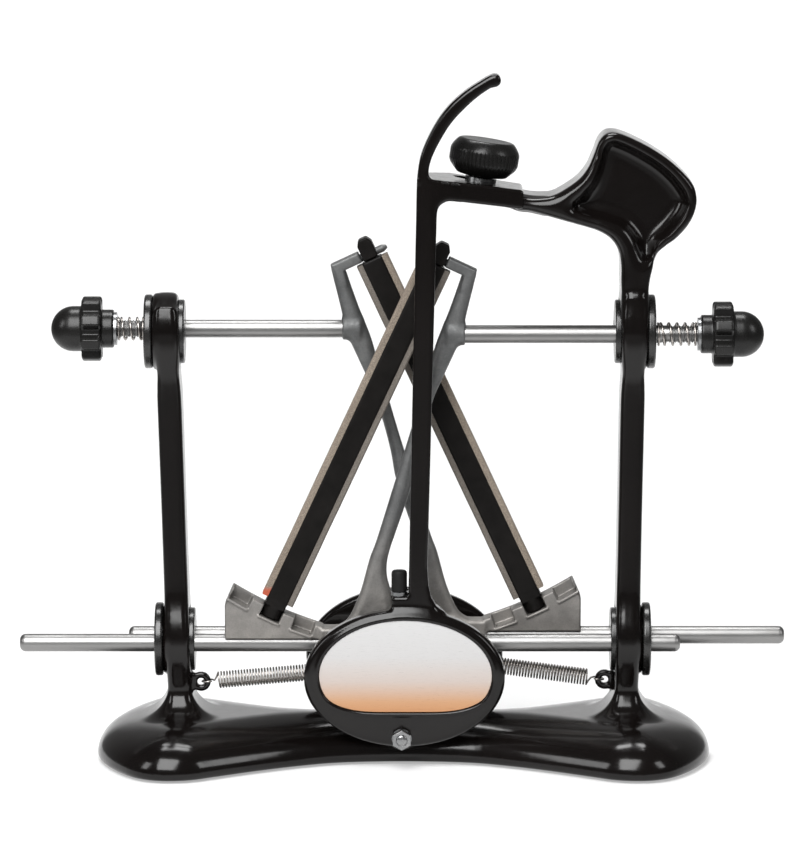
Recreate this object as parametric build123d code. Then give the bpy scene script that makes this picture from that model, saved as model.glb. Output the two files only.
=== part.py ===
from build123d import *
import math
import os

# Bench honing guide for knives.  A cast frame (base, two columns and a hand rest) carries two
# crossing spring-loaded arms on round rods.  Each arm holds one honing bar in a three-step quadrant.
# A blade guide stands in front of the crossing.  Frame: X to the right, Y to the back, Z up, origin on
# the table under the middle of the base.  Millimetres.
os.makedirs("parts", exist_ok=True)

# ------------------------------------------------------------------ driving dimensions
base_z0, base_h = 1.0, 19.5          # underside of the casting and its thickness
foot_r, foot_h = 9.0, 3.0            # rubber feet
foot_xy = [(104.0, 42.0), (104.0, -42.0), (-104.0, 42.0), (-104.0, -42.0)]
rod_r = 4.0                          # 8 mm ground rods
plane_a, plane_b = -9.0, 9.0         # front and rear arm planes
z_low, z_up = 54.0, 194.5            # rod heights
run_gap = 0.06                       # radial running clearance of the rods in their bushes
boss_w = 11.4                        # bosses along X
boss_r_up, boss_r_low = 17.3, 16.0
bush_r = 13.9
x_ul, x_ur, x_ll, x_lr = -106.7, 103.4, -102.9, 102.2     # boss centres
out_flange_r, out_flange_w = 16.6, 3.6
in_flange_r, in_flange_w = 14.3, 3.0
low_rod_reach = 173.0                # far end of each lower rod
pivot_x, pivot_z = 15.3, 228.3       # bar pivot of the right arm (the left arm mirrors it)
bar_angle = 25.0                     # middle setting, from vertical
floor_r = 179.5                      # pocket floors from the pivot
tooth_r = 174.2                      # tooth tops from the pivot
peg_r = 4.2
pocket_w = 9.6
bar_w, bar_t, strip_w = 15.2, 8.8, 2.8
guide_y0, guide_y1 = -30.0, -20.0    # blade guide column, front and back
plate_y0, plate_y1 = -32.0, -22.5    # front oval plate
oval_a, oval_b, oval_x, oval_z = 45.0, 31.2, 0.4, 41.8
bolt_x, bolt_z, bolt_r = -0.8, 15.0, 2.5            # M5 through bolt
arm_slope = 0.155                    # the tongue and the guide's top arm fall to the right
clamp_x, clamp_y = 34.4, 1.0         # clamp stud axis where it leaves the top arm


# ------------------------------------------------------------------ helpers
def box(x0, y0, z0, x1, y1, z1):
    return Pos((x0 + x1) / 2, (y0 + y1) / 2, (z0 + z1) / 2) * Box(x1 - x0, y1 - y0, z1 - z0)


def cyl(p, q, r):
    d = Vector(*q) - Vector(*p)
    return Plane(origin=p, z_dir=d) * Cylinder(r, d.length, align=(Align.CENTER, Align.CENTER, Align.MIN))


def tube(p, q, r, bore):
    return cyl(p, q, r) - cyl(p, q, bore)


def prism_xz(pts, y0, y1):
    face = make_face(Polyline(*[(x, y0, z) for x, z in pts], close=True))
    return extrude(face, amount=y1 - y0, dir=(0, 1, 0))


def spline_xz(pts, y0, y1):
    face = make_face(Spline(*[(x, y0, z) for x, z in pts], periodic=True))
    return extrude(face, amount=y1 - y0, dir=(0, 1, 0))


def prism_yz(pts, x0, x1):
    face = make_face(Polyline(*[(x0, y, z) for y, z in pts], close=True))
    return extrude(face, amount=x1 - x0, dir=(1, 0, 0))


def prism_xy(pts, z0, z1):
    face = make_face(Polyline(*[(x, y, z0) for x, y in pts], close=True))
    return extrude(face, amount=z1 - z0, dir=(0, 0, 1))


def oval_face(x, y, z, a, b):
    return Plane(origin=(x, y, z), x_dir=(1, 0, 0), z_dir=(0, -1, 0)) * Ellipse(a, b)


def revolved(profile, origin, axis, xdir=None):
    """Solid of revolution: profile is (radius, height) along the axis."""
    pl = Plane(origin=origin, z_dir=axis) if xdir is None else Plane(origin=origin, x_dir=xdir, z_dir=axis)
    face = make_face(Polyline(*[(r, 0, h) for r, h in profile], close=True))
    return pl * revolve(face, axis=Axis.Z, revolution_arc=360)


def smooth(part, edges, radii):
    """Largest of the given fillet radii that the kernel can build."""
    for r in radii:
        try:
            out = fillet(edges, r)
            if out.is_valid and out.volume > 0:
                return out
        except Exception:
            continue
    print("no fillet of", radii)
    return part


def flip(shape):
    """Right-arm piece to left-arm piece: mirrored across the middle and set into the rear plane."""
    return Pos(0, plane_b - plane_a, 0) * mirror(shape, about=Plane.YZ)


nodes = {}


# ------------------------------------------------------------------ frame casting
half = [(0.0, 20.0), (-27.7, 22.5), (-46.5, 29.5), (-65.0, 39.5), (-83.3, 51.2), (-92.4, 57.0), (-101.6, 59.4),
        (-111.9, 58.2), (-121.6, 51.0), (-131.1, 35.0), (-137.2, 17.0)]
quarter = [(-x, y) for x, y in half]
outline = half + [(-138.6, 0.0)] + [(x, -y) for x, y in reversed(half)] \
    + [(-x, -y) for x, y in half[1:]] + [(138.6, 0.0)] + [(-x, y) for x, y in reversed(half[1:])]
plan = make_face(Spline(*[(x, y, base_z0) for x, y in outline], periodic=True))
base = extrude(plan, amount=base_h, dir=(0, 0, 1))
top_edges = base.faces().sort_by(Axis.Z)[-1].edges()
base = smooth(base, top_edges, [14.0, 12.0, 10.0, 9.0, 8.0, 6.0])
low_edges = base.faces().sort_by(Axis.Z)[0].edges()
base = smooth(base, low_edges, [2.0, 1.5, 1.0])
# hollow underneath, with solid lands for the feet and for the columns
for sx in (-1, 1):
    lobe = prism_xy([(sx * 60, 26), (sx * 84, 42), (sx * 92, 48), (sx * 94, 25), (sx * 124, 25), (sx * 131, 12),
                     (sx * 131, -12), (sx * 124, -25), (sx * 94, -25), (sx * 92, -48), (sx * 84, -42), (sx * 60, -26)],
                    base_z0 - 1, base_z0 + 12)
    base -= lobe
for x, y in foot_xy:
    base -= cyl((x, y, base_z0 - 1), (x, y, foot_h), foot_r)


def column(xl, xu, zl, zu, top):
    """Leaning column: a strip in front view, swelling round its two bosses in side view, with a flared foot."""
    def cx(z):
        return xl + (xu - xl) * (z - zl) / (zu - zl)
    w = boss_w / 2
    left = [(cx(14) - 19.0, 14.0), (cx(19) - 16.5, 19.5), (cx(22) - 11.5, 22.5), (cx(26) - 8.0, 26.5), (cx(31) - 6.2, 31.5), (cx(38) - w, 38.0)]
    right = [(cx(14) + 19.0, 14.0), (cx(19) + 16.5, 19.5), (cx(22) + 11.5, 22.5), (cx(26) + 8.0, 26.5), (cx(31) + 6.2, 31.5), (cx(38) + w, 38.0)]
    front = prism_xz(left + [(cx(top) - w, top), (cx(top) + w, top)] + list(reversed(right)), -40, 40)
    yz = [(24.0, 14.0), (21.0, 19.5), (17.5, 23.0), (15.0, 28.0), (13.6, 34.0), (13.2, 42.0), (13.2, 66.0), (12.0, 84.0), (11.2, 110.0), (11.0, 140.0),
          (11.6, 162.0), (13.2, 178.0), (14.0, 190.0), (14.0, top)]
    side = prism_yz(yz + [(-y, z) for y, z in reversed(yz)], xl - 40, xl + 40)
    return front & side


left_col = column(-101.7, -105.7, 52.4, 194.5, 200.0)
right_col = column(101.05, 103.06, 53.1, 194.5, 214.0)
for x, z, r in ((x_ul, z_up, boss_r_up), (x_ur, z_up, boss_r_up), (x_ll, z_low, boss_r_low), (x_lr, z_low, boss_r_low)):
    boss = cyl((x - boss_w / 2, 0, z), (x + boss_w / 2, 0, z), r)
    boss = smooth(boss, boss.edges().filter_by(GeomType.CIRCLE), [2.6, 1.6])
    if x < 0:
        left_col += boss
    else:
        right_col += boss

rest_pts = [(60.5, 256.1), (66.5, 257.0), (72.5, 260.2), (78.2, 264.5), (81.9, 269.4), (84.3, 275.1), (86.4, 280.8), (89.3, 284.1),
            (93.0, 285.1), (98.1, 283.9), (105.6, 280.5), (111.8, 277.0), (118.2, 272.6), (124.5, 266.9), (128.9, 261.3),
            (130.4, 255.0), (129.4, 249.3), (126.5, 243.6), (121.6, 238.0), (116.6, 234.1), (113.2, 230.0), (110.9, 224.0),
            (109.4, 216.0), (109.1, 208.0), (103.3, 204.0), (97.7, 208.0), (97.0, 217.0), (96.9, 226.0), (95.6, 232.5), (92.3, 237.6),
            (87.0, 241.0), (80.7, 243.1), (71.3, 245.7), (61.9, 248.4), (58.0, 249.5), (58.0, 255.7)]
rest_face = make_face(Polyline(*[(x, -15.0, z) for x, z in rest_pts], close=True))
rest = extrude(rest_face, amount=30.0, dir=(0, 1, 0))
pocket_pts = [(90.6, 278.0), (94.0, 278.9), (98.5, 277.5), (106.8, 273.4), (114.5, 268.3), (120.9, 261.8), (124.2, 255.5), (123.2, 250.5), (118.6, 243.6),
              (112.6, 237.0), (108.6, 230.6), (106.4, 233.0), (103.6, 239.0), (98.6, 244.8), (92.0, 248.2), (84.0, 250.6), (84.5, 257.0), (88.0, 264.0), (90.0, 271.0)]
rest -= prism_xz(pocket_pts, -16.0, -5.5) + prism_xz(pocket_pts, 5.5, 16.0)


def arm_z(x):
    return 256.0 + arm_slope * (56.4 - x)       # top of the tongue


tongue = prism_xz([(15.0, arm_z(15)), (60.5, arm_z(60.5)), (60.5, arm_z(60.5) - 6.4), (15.0, arm_z(15) - 6.0)], -9.0, 13.0)
n_ax = Vector(arm_slope, 0, 1).normalized()
c0 = Vector(clamp_x, clamp_y, arm_z(clamp_x) + 3.2)    # stud axis at the top of the guide's arm


def on_axis(h):
    v = c0 + n_ax * h
    return (v.X, v.Y, v.Z)


tongue -= cyl(on_axis(-16), on_axis(4), rod_r + 0.06)
lug_l = cyl((-91.4, -10.0, 36.1), (-91.4, -6.6, 36.1), 4.4) + box(-98.5, -10.0, 32.9, -91.4, -6.6, 39.3)
lug_r = cyl((91.5, 6.6, 33.6), (91.5, 10.0, 33.6), 4.4) + box(91.5, 6.6, 30.4, 98.5, 10.0, 36.8)
casting = base + left_col + right_col + rest + tongue + lug_l + lug_r
casting -= cyl((-91.4, -11.0, 36.1), (-91.4, -5.0, 36.1), 1.75)
casting -= cyl((91.5, 5.0, 33.6), (91.5, 11.0, 33.6), 1.75)
for x, z in ((x_ul, z_up), (x_ur, z_up), (x_ll, z_low), (x_lr, z_low)):
    casting -= cyl((x - boss_w / 2 - 6, 0, z), (x - boss_w / 2, 0, z), out_flange_r + 0.4)
    casting -= cyl((x + boss_w / 2, 0, z), (x + boss_w / 2 + 6, 0, z), out_flange_r + 0.4)
    casting -= cyl((x - boss_w / 2 - 1, 0, z), (x + boss_w / 2 + 1, 0, z), bush_r)
casting -= cyl((bolt_x, -40, bolt_z), (bolt_x, 40, bolt_z), bolt_r + 0.2)
nodes["frame_casting"] = casting

feet = []
for x, y in foot_xy:
    f = cyl((x, y, 0), (x, y, foot_h), foot_r)
    feet.append(smooth(f, f.edges().sort_by(Axis.Z)[0], [0.8]))
nodes["rubber_feet"] = Compound(children=feet)

# ------------------------------------------------------------------ rod bushes
for name, x, z, side in (("upper_left", x_ul, z_up, -1), ("upper_right", x_ur, z_up, 1),
                         ("lower_left", x_ll, z_low, -1), ("lower_right", x_lr, z_low, 1)):
    face_out, face_in = x + side * boss_w / 2, x - side * boss_w / 2
    outer = cyl((x, 0, z), (face_out, 0, z), bush_r)
    flange = cyl((face_out, 0, z), (face_out + side * out_flange_w, 0, z), out_flange_r)
    flange = smooth(flange, flange.edges().filter_by(GeomType.CIRCLE), [1.0])
    outer = outer + flange
    inner = cyl((x, 0, z), (face_in, 0, z), bush_r)
    fl = cyl((face_in, 0, z), (face_in - side * in_flange_w, 0, z), in_flange_r)
    fl = smooth(fl, fl.edges().filter_by(GeomType.CIRCLE), [0.8])
    inner = inner + fl
    for y in (plane_a, plane_b):
        hole = cyl((x - 20, y, z), (x + 20, y, z), rod_r + run_gap)
        outer -= hole
        inner -= hole
    nodes["outer_bush_" + name] = outer
    nodes["inner_bush_" + name] = inner

# ------------------------------------------------------------------ blade guide: oval plate, column, horn and top arm
def badge_solid(y0, y1, inset):
    """The badge's outline: an oval with a flat lower edge and large rounded corners."""
    a, b, x0, z0, flat, rc = 38.9 - inset, 25.4 - inset, 0.9, 43.2, 26.5 + inset, 8.0

    def outside(x, z):
        u, v = (x - x0) / a, (z - z0) / b
        k0, k1 = math.hypot(u, v), math.hypot(u / a, v / b)
        d1, d2 = k0 * (k0 - 1) / k1 + rc, flat - z + rc
        return min(max(d1, d2), 0) + math.hypot(max(d1, 0), max(d2, 0)) - rc > 0
    pts = []
    for k in range(56):
        t = 2 * math.pi * k / 56
        lo, hi = 1.0, 60.0
        for _ in range(40):
            mid = (lo + hi) / 2
            if outside(x0 + mid * math.cos(t), z0 + mid * math.sin(t)):
                hi = mid
            else:
                lo = mid
        pts.append((x0 + lo * math.cos(t), z0 + lo * math.sin(t)))
    return spline_xz(pts, y0, y1)


oval = extrude(oval_face(oval_x, plate_y0, oval_z, oval_a, oval_b),
               amount=plate_y1 - plate_y0, dir=(0, 1, 0))
oval = smooth(oval, oval.faces().sort_by(Axis.Y)[0].edges(), [2.2, 1.8, 1.2])
badge_outline = badge_solid(plate_y0 - 1, plate_y0 + 1.6, 0.0)
column_g = prism_xz([(-5.2, 62.0), (-5.2, 79.0), (2.1, 79.0), (2.1, 81.0), (5.4, 247.5), (5.6, 266.0), (14.9, 257.0), (14.7, 247.5), (10.6, 90.0),
                     (11.4, 83.0), (13.6, 76.5), (17.5, 71.0), (17.5, 62.0)], guide_y0, guide_y1)
horn_out = [(5.5, 247.5), (5.65, 255.8), (6.2, 268.4), (7.3, 275.4), (9.5, 281.7), (12.6, 288.0), (16.0, 293.6), (20.1, 298.7), (24.5, 302.8), (28.9, 306.2),
            (33.3, 309.4), (37.0, 312.0), (39.5, 313.4)]
horn_in = [(41.9, 312.0), (42.4, 309.7), (41.9, 308.1), (40.8, 307.1), (38.3, 306.0), (34.5, 303.5), (30.8, 300.6), (27.0, 297.1), (23.3, 293.3), (20.1, 289.3),
           (17.4, 285.0), (15.0, 280.7), (13.0, 276.6), (11.7, 273.0), (11.1, 269.7), (11.0, 262.0)]
horn = prism_xz(horn_out + horn_in, guide_y0, guide_y1)
arm_plan = prism_xy([(5.7, guide_y0), (12.0, guide_y0), (53.2, -16.0), (53.2, 13.0), (20.0, 13.0), (9.0, -2.0), (5.7, guide_y1)], 200, 300)
skirt_plan = prism_xy([(5.7, guide_y0), (12.0, guide_y0), (53.2, -16.0), (53.2, -9.4), (12.0, -9.4), (5.7, guide_y1)], 200, 300)
top_arm = arm_plan & prism_xz([(5.7, arm_z(5.7) + 3.2), (53.2, arm_z(53.2) + 3.2), (53.2, arm_z(53.2)), (5.7, arm_z(5.7))], -60, 60)
skirt = skirt_plan & prism_xz([(5.7, arm_z(5.7) + 3.2), (53.2, arm_z(53.2) + 3.2), (53.2, arm_z(53.2) - 5.4), (22.0, arm_z(22.0) - 5.0), (17.0, arm_z(17) - 6.6),
                               (14.8, arm_z(15) - 11.0), (5.7, arm_z(5.7) - 11.0)], -60, 60)
guide = oval + column_g + horn + top_arm + skirt
guide += cyl((bolt_x, plate_y1 - 1, bolt_z), (bolt_x, -14, bolt_z), 7.0)
guide += box(-16, -27, oval_z - 12, 17.5, guide_y1, 66.0) & cyl((0.4, -40, oval_z), (0.4, 0, oval_z), 28)
guide -= badge_outline
slot = cyl(on_axis(-4), on_axis(4), 4.6)
slot += Pos(-7.0, 0, 7.0 * arm_slope) * slot + (Plane(origin=on_axis(0), x_dir=Vector(1, 0, -arm_slope), z_dir=n_ax) * Pos(-3.5, 0, 0) * Box(7.07, 9.2, 8.0))
guide -= slot
guide -= cyl((bolt_x, -40, bolt_z), (bolt_x, 0, bolt_z), bolt_r + 0.2)
guide -= base
nodes["blade_guide"] = guide

badge = badge_solid(plate_y0 + 0.8, plate_y0 + 1.6, 0.2)
nodes["badge_plate"] = badge

rear = extrude(oval_face(oval_x, 22.5, oval_z, oval_a, oval_b),
               amount=6.5, dir=(0, 1, 0))
rear = smooth(rear, rear.faces().sort_by(Axis.Y)[-1].edges(), [2.2, 1.5])
rear += cyl((bolt_x, 14, bolt_z), (bolt_x, 24, bolt_z), 7.0)
rear -= cyl((bolt_x, 0, bolt_z), (bolt_x, 40, bolt_z), bolt_r + 0.2)
rear -= base
nodes["rear_cover"] = rear


def hex_prism(y0, y1, af):
    r = af / math.sqrt(3)
    return prism_xz([(bolt_x + r * math.cos(math.radians(60 * k + 30)), bolt_z + r * math.sin(math.radians(60 * k + 30))) for k in range(6)], y0, y1)


nodes["guide_bolt"] = cyl((bolt_x, plate_y0 - 5.6, bolt_z), (bolt_x, 30.2, bolt_z), bolt_r) + hex_prism(30.2, 33.7, 8.0)
nodes["guide_bolt_washers"] = Compound(children=[tube((bolt_x, plate_y0 - 1.0, bolt_z), (bolt_x, plate_y0, bolt_z), 4.4, bolt_r + 0.1),
                                                 tube((bolt_x, 29.0, bolt_z), (bolt_x, 30.2, bolt_z), 5.0, bolt_r + 0.1)])
nodes["guide_nut"] = hex_prism(plate_y0 - 5.0, plate_y0 - 1.0, 8.0) - cyl((bolt_x, -60, bolt_z), (bolt_x, 0, bolt_z), bolt_r)

# rubber stop for the blade's edge at the foot of the guide
nodes["edge_stop_washer"] = tube((-1.9, -25, 79.0), (-1.9, -25, 80.6), 3.7, 1.6)
stop = cyl((-1.9, -25, 80.6), (-1.9, -25, 90.2), 3.5)
stop = smooth(stop, stop.edges().sort_by(Axis.Z)[-1], [1.0]) - cyl((-1.9, -25, 80.6), (-1.9, -25, 84.0), 1.6)
nodes["edge_stop"] = stop
nodes["edge_stop_screw"] = cyl((-1.9, -25, 79.0), (-1.9, -25, 84.0), 1.6)

# ------------------------------------------------------------------ clamp at the top of the guide
nodes["clamp_washer"] = tube(on_axis(0.05), on_axis(1.25), 7.0, rod_r + 0.06)
stud = cyl(on_axis(-9.2), on_axis(12.0), rod_r)
nodes["clamp_stud"] = stud
knob = revolved([(0, 2.2), (7.5, 2.2), (11.0, 2.6), (15.5, 7.2), (15.5, 14.2), (12.6, 18.0), (11.0, 18.4), (0, 18.4)], on_axis(0), n_ax)
knob += tube(on_axis(1.3), on_axis(3.2), 6.0, rod_r)
nodes["clamp_knob_grip"] = knob - cyl(on_axis(-2), on_axis(12.0), rod_r)

# ------------------------------------------------------------------ right arm (front plane); the left arm mirrors it
sn, cs = math.sin(math.radians(bar_angle)), math.cos(math.radians(bar_angle))


def bar_pt(s, w, y=plane_a):
    """Point in the bar's own frame: s across the bar, w along it from the pocket floor."""
    fx, fz = pivot_x - floor_r * sn, pivot_z - floor_r * cs
    return (fx + w * sn + s * cs, y, fz + w * cs - s * sn)


def bar_prism(pts, y0, y1):
    return prism_xz([(bar_pt(s, w)[0], bar_pt(s, w)[2]) for s, w in pts], y0, y1)


bow = prism_xz([(32.2, 222.8), (31.8, 218.0), (29.6, 209.9), (27.9, 202.7), (27.0, 198.6), (25.2, 191.0), (23.2, 187.6), (20.8, 182.0), (16.3, 172.1), (13.6, 165.8),
                (9.3, 152.5), (5.8, 139.0), (3.1, 124.7), (-5.8, 98.0), (-7.4, 91.2), (-7.4, 84.6), (-5.8, 77.8), (-4.6, 60.0), (-28.5, 60.0), (-23.7, 67.1),
                (-19.3, 77.7), (-15.3, 92.3), (-12.1, 101.0), (2.8, 149.4), (9.0, 171.0), (12.6, 183.6), (14.5, 190.1), (17.2, 197.3), (19.8, 203.6), (22.1, 209.9),
                (24.3, 216.2), (26.3, 221.6)], plane_a - 4, plane_a + 4)
bow = smooth(bow, [e for e in bow.edges() if e.center().Z > 80 and abs(e.center().Y - plane_a) > 3.9], [2.0, 1.5, 1.0])
pw = floor_r
bracket = bar_prism([(4.3, pw - 1.7), (13.5, pw - 1.7), (12.6, pw - 9.0), (17.6, pw - 7.5), (17.6, pw + 2.0), (17.0, pw + 2.5), (4.3, pw + 2.5)], plane_a - 4, plane_a + 4)
pin_a, pin_b = bar_pt(5.5, pw), bar_pt(-8.6, pw)
bracket += cyl(pin_a, pin_b, 1.7)
rail = box(-38, plane_a - 6, z_low - 7.5, -4.6, plane_a + 6, z_low + 7.5)
tab = box(-35.5, plane_a - 1.7, 37.0, -27.5, plane_a + 1.7, z_low - 7.0)
boss_a = cyl((19.0, plane_a, z_up), (28.5, plane_a, z_up), 5.2)
quad = [(-36.5, 56.5), (-80.5, 56.5), (-80.5, 72.4)]
for k in range(0, 9):
    t = math.radians(31.9 - k * (31.9 - 16.2) / 8)
    quad.append((pivot_x - tooth_r * math.sin(t), pivot_z - tooth_r * math.cos(t)))
block = prism_xz(quad, plane_a - 5, plane_a + 7)
back = prism_xz([(-36.5, 53.0), (-80.5, 53.0), (-80.5, 60.0), (-36.5, 60.0)], plane_a + 4.6, plane_a + 7)
for t in (20.0, 25.0, 30.0):
    a = math.radians(t)
    fx, fz = pivot_x - floor_r * math.sin(a), pivot_z - floor_r * math.cos(a)
    pl = Plane(origin=(fx, plane_a - 0.45, fz), x_dir=(0, 1, 0), z_dir=(math.sin(a), 0, math.cos(a)))
    block -= pl * Pos(-0.2, 0, 6.0) * Box(9.7, pocket_w, 12.0)
arm = bow + bracket + rail + tab + boss_a + block + back
arm -= cyl((-200, plane_a, z_low), (200, plane_a, z_low), rod_r)
arm -= cyl((19.0, plane_a, z_up), (60, plane_a, z_up), rod_r)
arm -= cyl((-31.5, plane_a - 3, 41.3), (-31.5, plane_a + 3, 41.3), 1.75)
pins = [cyl((-20.0, plane_a - 5.4, z_low), (-20.0, plane_a + 6, z_low), 1.25), cyl((22.8, plane_a - 4.7, z_up), (22.8, plane_a + 5.2, z_up), 1.25)]
low_rod = cyl((-low_rod_reach, plane_a, z_low), (124.8, plane_a, z_low), rod_r)
low_rod = smooth(low_rod, low_rod.edges().filter_by(GeomType.CIRCLE), [2.2, 1.5])
up_rod = cyl((19.0, plane_a, z_up), (151.0, plane_a, z_up), rod_r)
for p in pins:
    arm -= p
    low_rod -= p
    up_rod -= p
right = {}
right["arm_casting"] = arm
right["lower_rod"] = low_rod
right["upper_rod"] = up_rod


def ring(centre, axis, r, wire):
    return Plane(origin=centre, z_dir=axis) * Torus(r, wire)


def pull_spring(lug, eye, r=4.0):
    """Extension spring between two eyelets: the coil as a tube, with a hook loop at each end."""
    a, b = Vector(*lug), Vector(*eye)
    d = (b - a).normalized()
    ra, rb = a + d * 3.1, b - d * 3.1
    s = tube(tuple(ra + d * 4.6), tuple(rb - d * 4.6), r, r - 1.0)
    cap = [ring(tuple(ra), (0, 0, 1), 2.7, 0.42), ring(tuple(rb), (0, 0, 1), 2.7, 0.42)]
    ends = [cyl(tuple(ra + d * 2.6), tuple(ra + d * 5.6), 0.42), cyl(tuple(rb - d * 2.6), tuple(rb - d * 5.6), 0.42)]
    disks = [cyl(tuple(ra + d * 4.6), tuple(ra + d * 5.6), r), cyl(tuple(rb - d * 4.6), tuple(rb - d * 5.6), r)]
    return s + cap[0] + cap[1] + ends[0] + ends[1] + disks[0] + disks[1]


nodes["left_return_spring"] = pull_spring((-91.4, -8.3, 36.1), (-31.5, plane_a, 41.3))
nodes["right_return_spring"] = pull_spring((91.5, 8.3, 33.6), (31.5, plane_b, 41.3))

# honing bar: head on the bracket pin, holder turning on the head's stub, two abrasive strips
head = bar_prism([(-3.5, pw - 1.9), (3.5, pw - 1.9), (3.5, pw + 5.0), (1.8, pw + 8.0), (-1.8, pw + 8.0), (-3.5, pw + 5.0)], plane_a - 4.3, plane_a + 4.3)
head += cyl(bar_pt(0, pw - 14), bar_pt(0, pw - 1.9), 2.4)
head -= cyl(bar_pt(9, pw), bar_pt(-9, pw), 1.78)
right["bar_head"] = head
core = bar_w / 2 - strip_w
top_w = pw - 2.3
holder = bar_prism([(-core, 8.6), (core, 8.6), (core, top_w), (-core, top_w)], plane_a - bar_t / 2, plane_a + bar_t / 2)
holder += bar_prism([(-core, 5.6), (core, 5.6), (core, 8.6), (-core, 8.6)], plane_a - bar_t / 2, plane_a + bar_t / 2)
holder += cyl(bar_pt(0, 0.3), bar_pt(0, 7.0), peg_r)
holder -= cyl(bar_pt(0, pw - 14.3), bar_pt(0, pw), 2.46)
right["bar_holder"] = holder
right["coarse_strip"] = bar_prism([(-bar_w / 2, 9.2), (-core, 9.2), (-core, top_w - 0.5), (-bar_w / 2, top_w - 0.5)], plane_a - 3.9, plane_a + 3.9)
right["fine_strip"] = bar_prism([(core, 9.2), (bar_w / 2, 9.2), (bar_w / 2, top_w - 0.5), (core, top_w - 0.5)], plane_a - 3.9, plane_a + 3.9)
for k, v in right.items():
    nodes["right_" + k] = v
    nodes["left_" + k] = flip(v)
nodes["right_rod_pins"] = Compound(children=pins)
nodes["left_rod_pins"] = Compound(children=[flip(p) for p in pins])


# ------------------------------------------------------------------ tension springs, washers and knobs
def star_knob(x0, side, y, bore_to):
    """Star knob with a domed end: hub, eight lobes and dome, outwards along X from x0."""
    prof = [(0, 0), (7.6, 0), (8.7, 0.8), (8.7, 4.9), (12.6, 5.7), (12.6, 13.9), (10.4, 15.0), (10.3, 19.0)]
    for k in range(1, 7):
        a = math.radians(15 * k)
        prof.append((10.3 * math.cos(a), 19.0 + 9.4 * math.sin(a)))
    prof[-1] = (0, 28.4)
    body = revolved(prof, (x0, y, z_up), (side, 0, 0))
    for k in range(8):
        a = math.radians(45 * k + 10)
        cy, cz = y + 12.2 * math.cos(a), z_up + 12.2 * math.sin(a)
        body += cyl((x0 + side * 5.4, cy, cz), (x0 + side * 14.2, cy, cz), 2.8)
    body -= cyl((x0 - side * 1, y, z_up), (bore_to, y, z_up), rod_r + 0.07)
    return body


for name, side, y, x_face, x_washer in (("right", 1, plane_a, x_ur + boss_w / 2 + out_flange_w, 131.4),
                                        ("left", -1, plane_b, x_ul - boss_w / 2 - out_flange_w, -129.0)):
    nodes[name + "_tension_spring"] = tube((x_face + side * 0.2, y, z_up), (x_washer - side * 0.05, y, z_up), 5.4, 4.5)
    nodes[name + "_spring_washer"] = tube((x_washer, y, z_up), (x_washer + side * 1.3, y, z_up), 7.4, rod_r + 0.07)
    nodes[name + "_tension_knob_grip"] = star_knob(x_washer + side * 1.35, side, y, side * 155.6)

for name, shape in nodes.items():
    shape.label = name
    export_step(shape, "parts/" + name + ".step")
    print(name, round(shape.volume, 1), shape.is_valid)
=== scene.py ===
import math

import bpy
import bmesh
import numpy as np
from mathutils import Matrix, Vector


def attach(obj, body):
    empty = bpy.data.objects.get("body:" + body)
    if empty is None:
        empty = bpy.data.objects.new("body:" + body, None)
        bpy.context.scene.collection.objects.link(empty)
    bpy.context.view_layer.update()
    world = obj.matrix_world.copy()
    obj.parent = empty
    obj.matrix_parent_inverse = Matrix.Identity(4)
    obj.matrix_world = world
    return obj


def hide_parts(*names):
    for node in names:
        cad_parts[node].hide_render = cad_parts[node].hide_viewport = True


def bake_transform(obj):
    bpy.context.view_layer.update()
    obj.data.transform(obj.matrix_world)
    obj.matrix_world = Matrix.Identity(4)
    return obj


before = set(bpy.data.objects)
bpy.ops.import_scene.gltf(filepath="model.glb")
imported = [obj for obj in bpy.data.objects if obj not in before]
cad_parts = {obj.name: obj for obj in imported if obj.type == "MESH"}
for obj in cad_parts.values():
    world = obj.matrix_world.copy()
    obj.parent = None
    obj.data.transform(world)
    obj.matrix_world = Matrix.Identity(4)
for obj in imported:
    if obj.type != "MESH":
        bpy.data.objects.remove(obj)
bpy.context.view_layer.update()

# ------------------------------------------------------------------ sizes, in millimetres, as the CAD has them
ROD_R = 4.0
YA, YB = -9.0, 9.0
Z_LOW, Z_UP = 54.0, 194.5
BOSS_W = 11.4
X_UL, X_UR, X_LL, X_LR = -106.7, 103.4, -102.9, 102.2
PX, PZ = 15.3, 228.3
ANG = math.radians(25.0)
SN, CS = math.sin(ANG), math.cos(ANG)
FLOOR_R, TOOTH_R, POCKET_W = 179.5, 174.2, 9.6
SLOPE = 0.155
NX, NZ = SLOPE / math.hypot(1, SLOPE), 1 / math.hypot(1, SLOPE)
CLX, CLY = 34.4, 1.0


def arm_z(x):
    return 256.0 + SLOPE * (56.4 - x)


# ------------------------------------------------------------------ signed-distance modelling
def smin(a, b, k):
    h = np.maximum(k - np.abs(a - b), 0) / k
    return np.minimum(a, b) - h * h * k * 0.25


def smax(a, b, k):
    return -smin(-a, -b, k)


def rounded(d1, d2, r):
    """Intersection of two half-distances with an edge radius r."""
    q1, q2 = d1 + r, d2 + r
    return np.minimum(np.maximum(q1, q2), 0) + np.sqrt(np.maximum(q1, 0) ** 2 + np.maximum(q2, 0) ** 2) - r


def union_round(a, b, r):
    """Union with a circular fillet of radius r."""
    return np.maximum(r, np.minimum(a, b)) - np.hypot(np.maximum(r - a, 0), np.maximum(r - b, 0))


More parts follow.
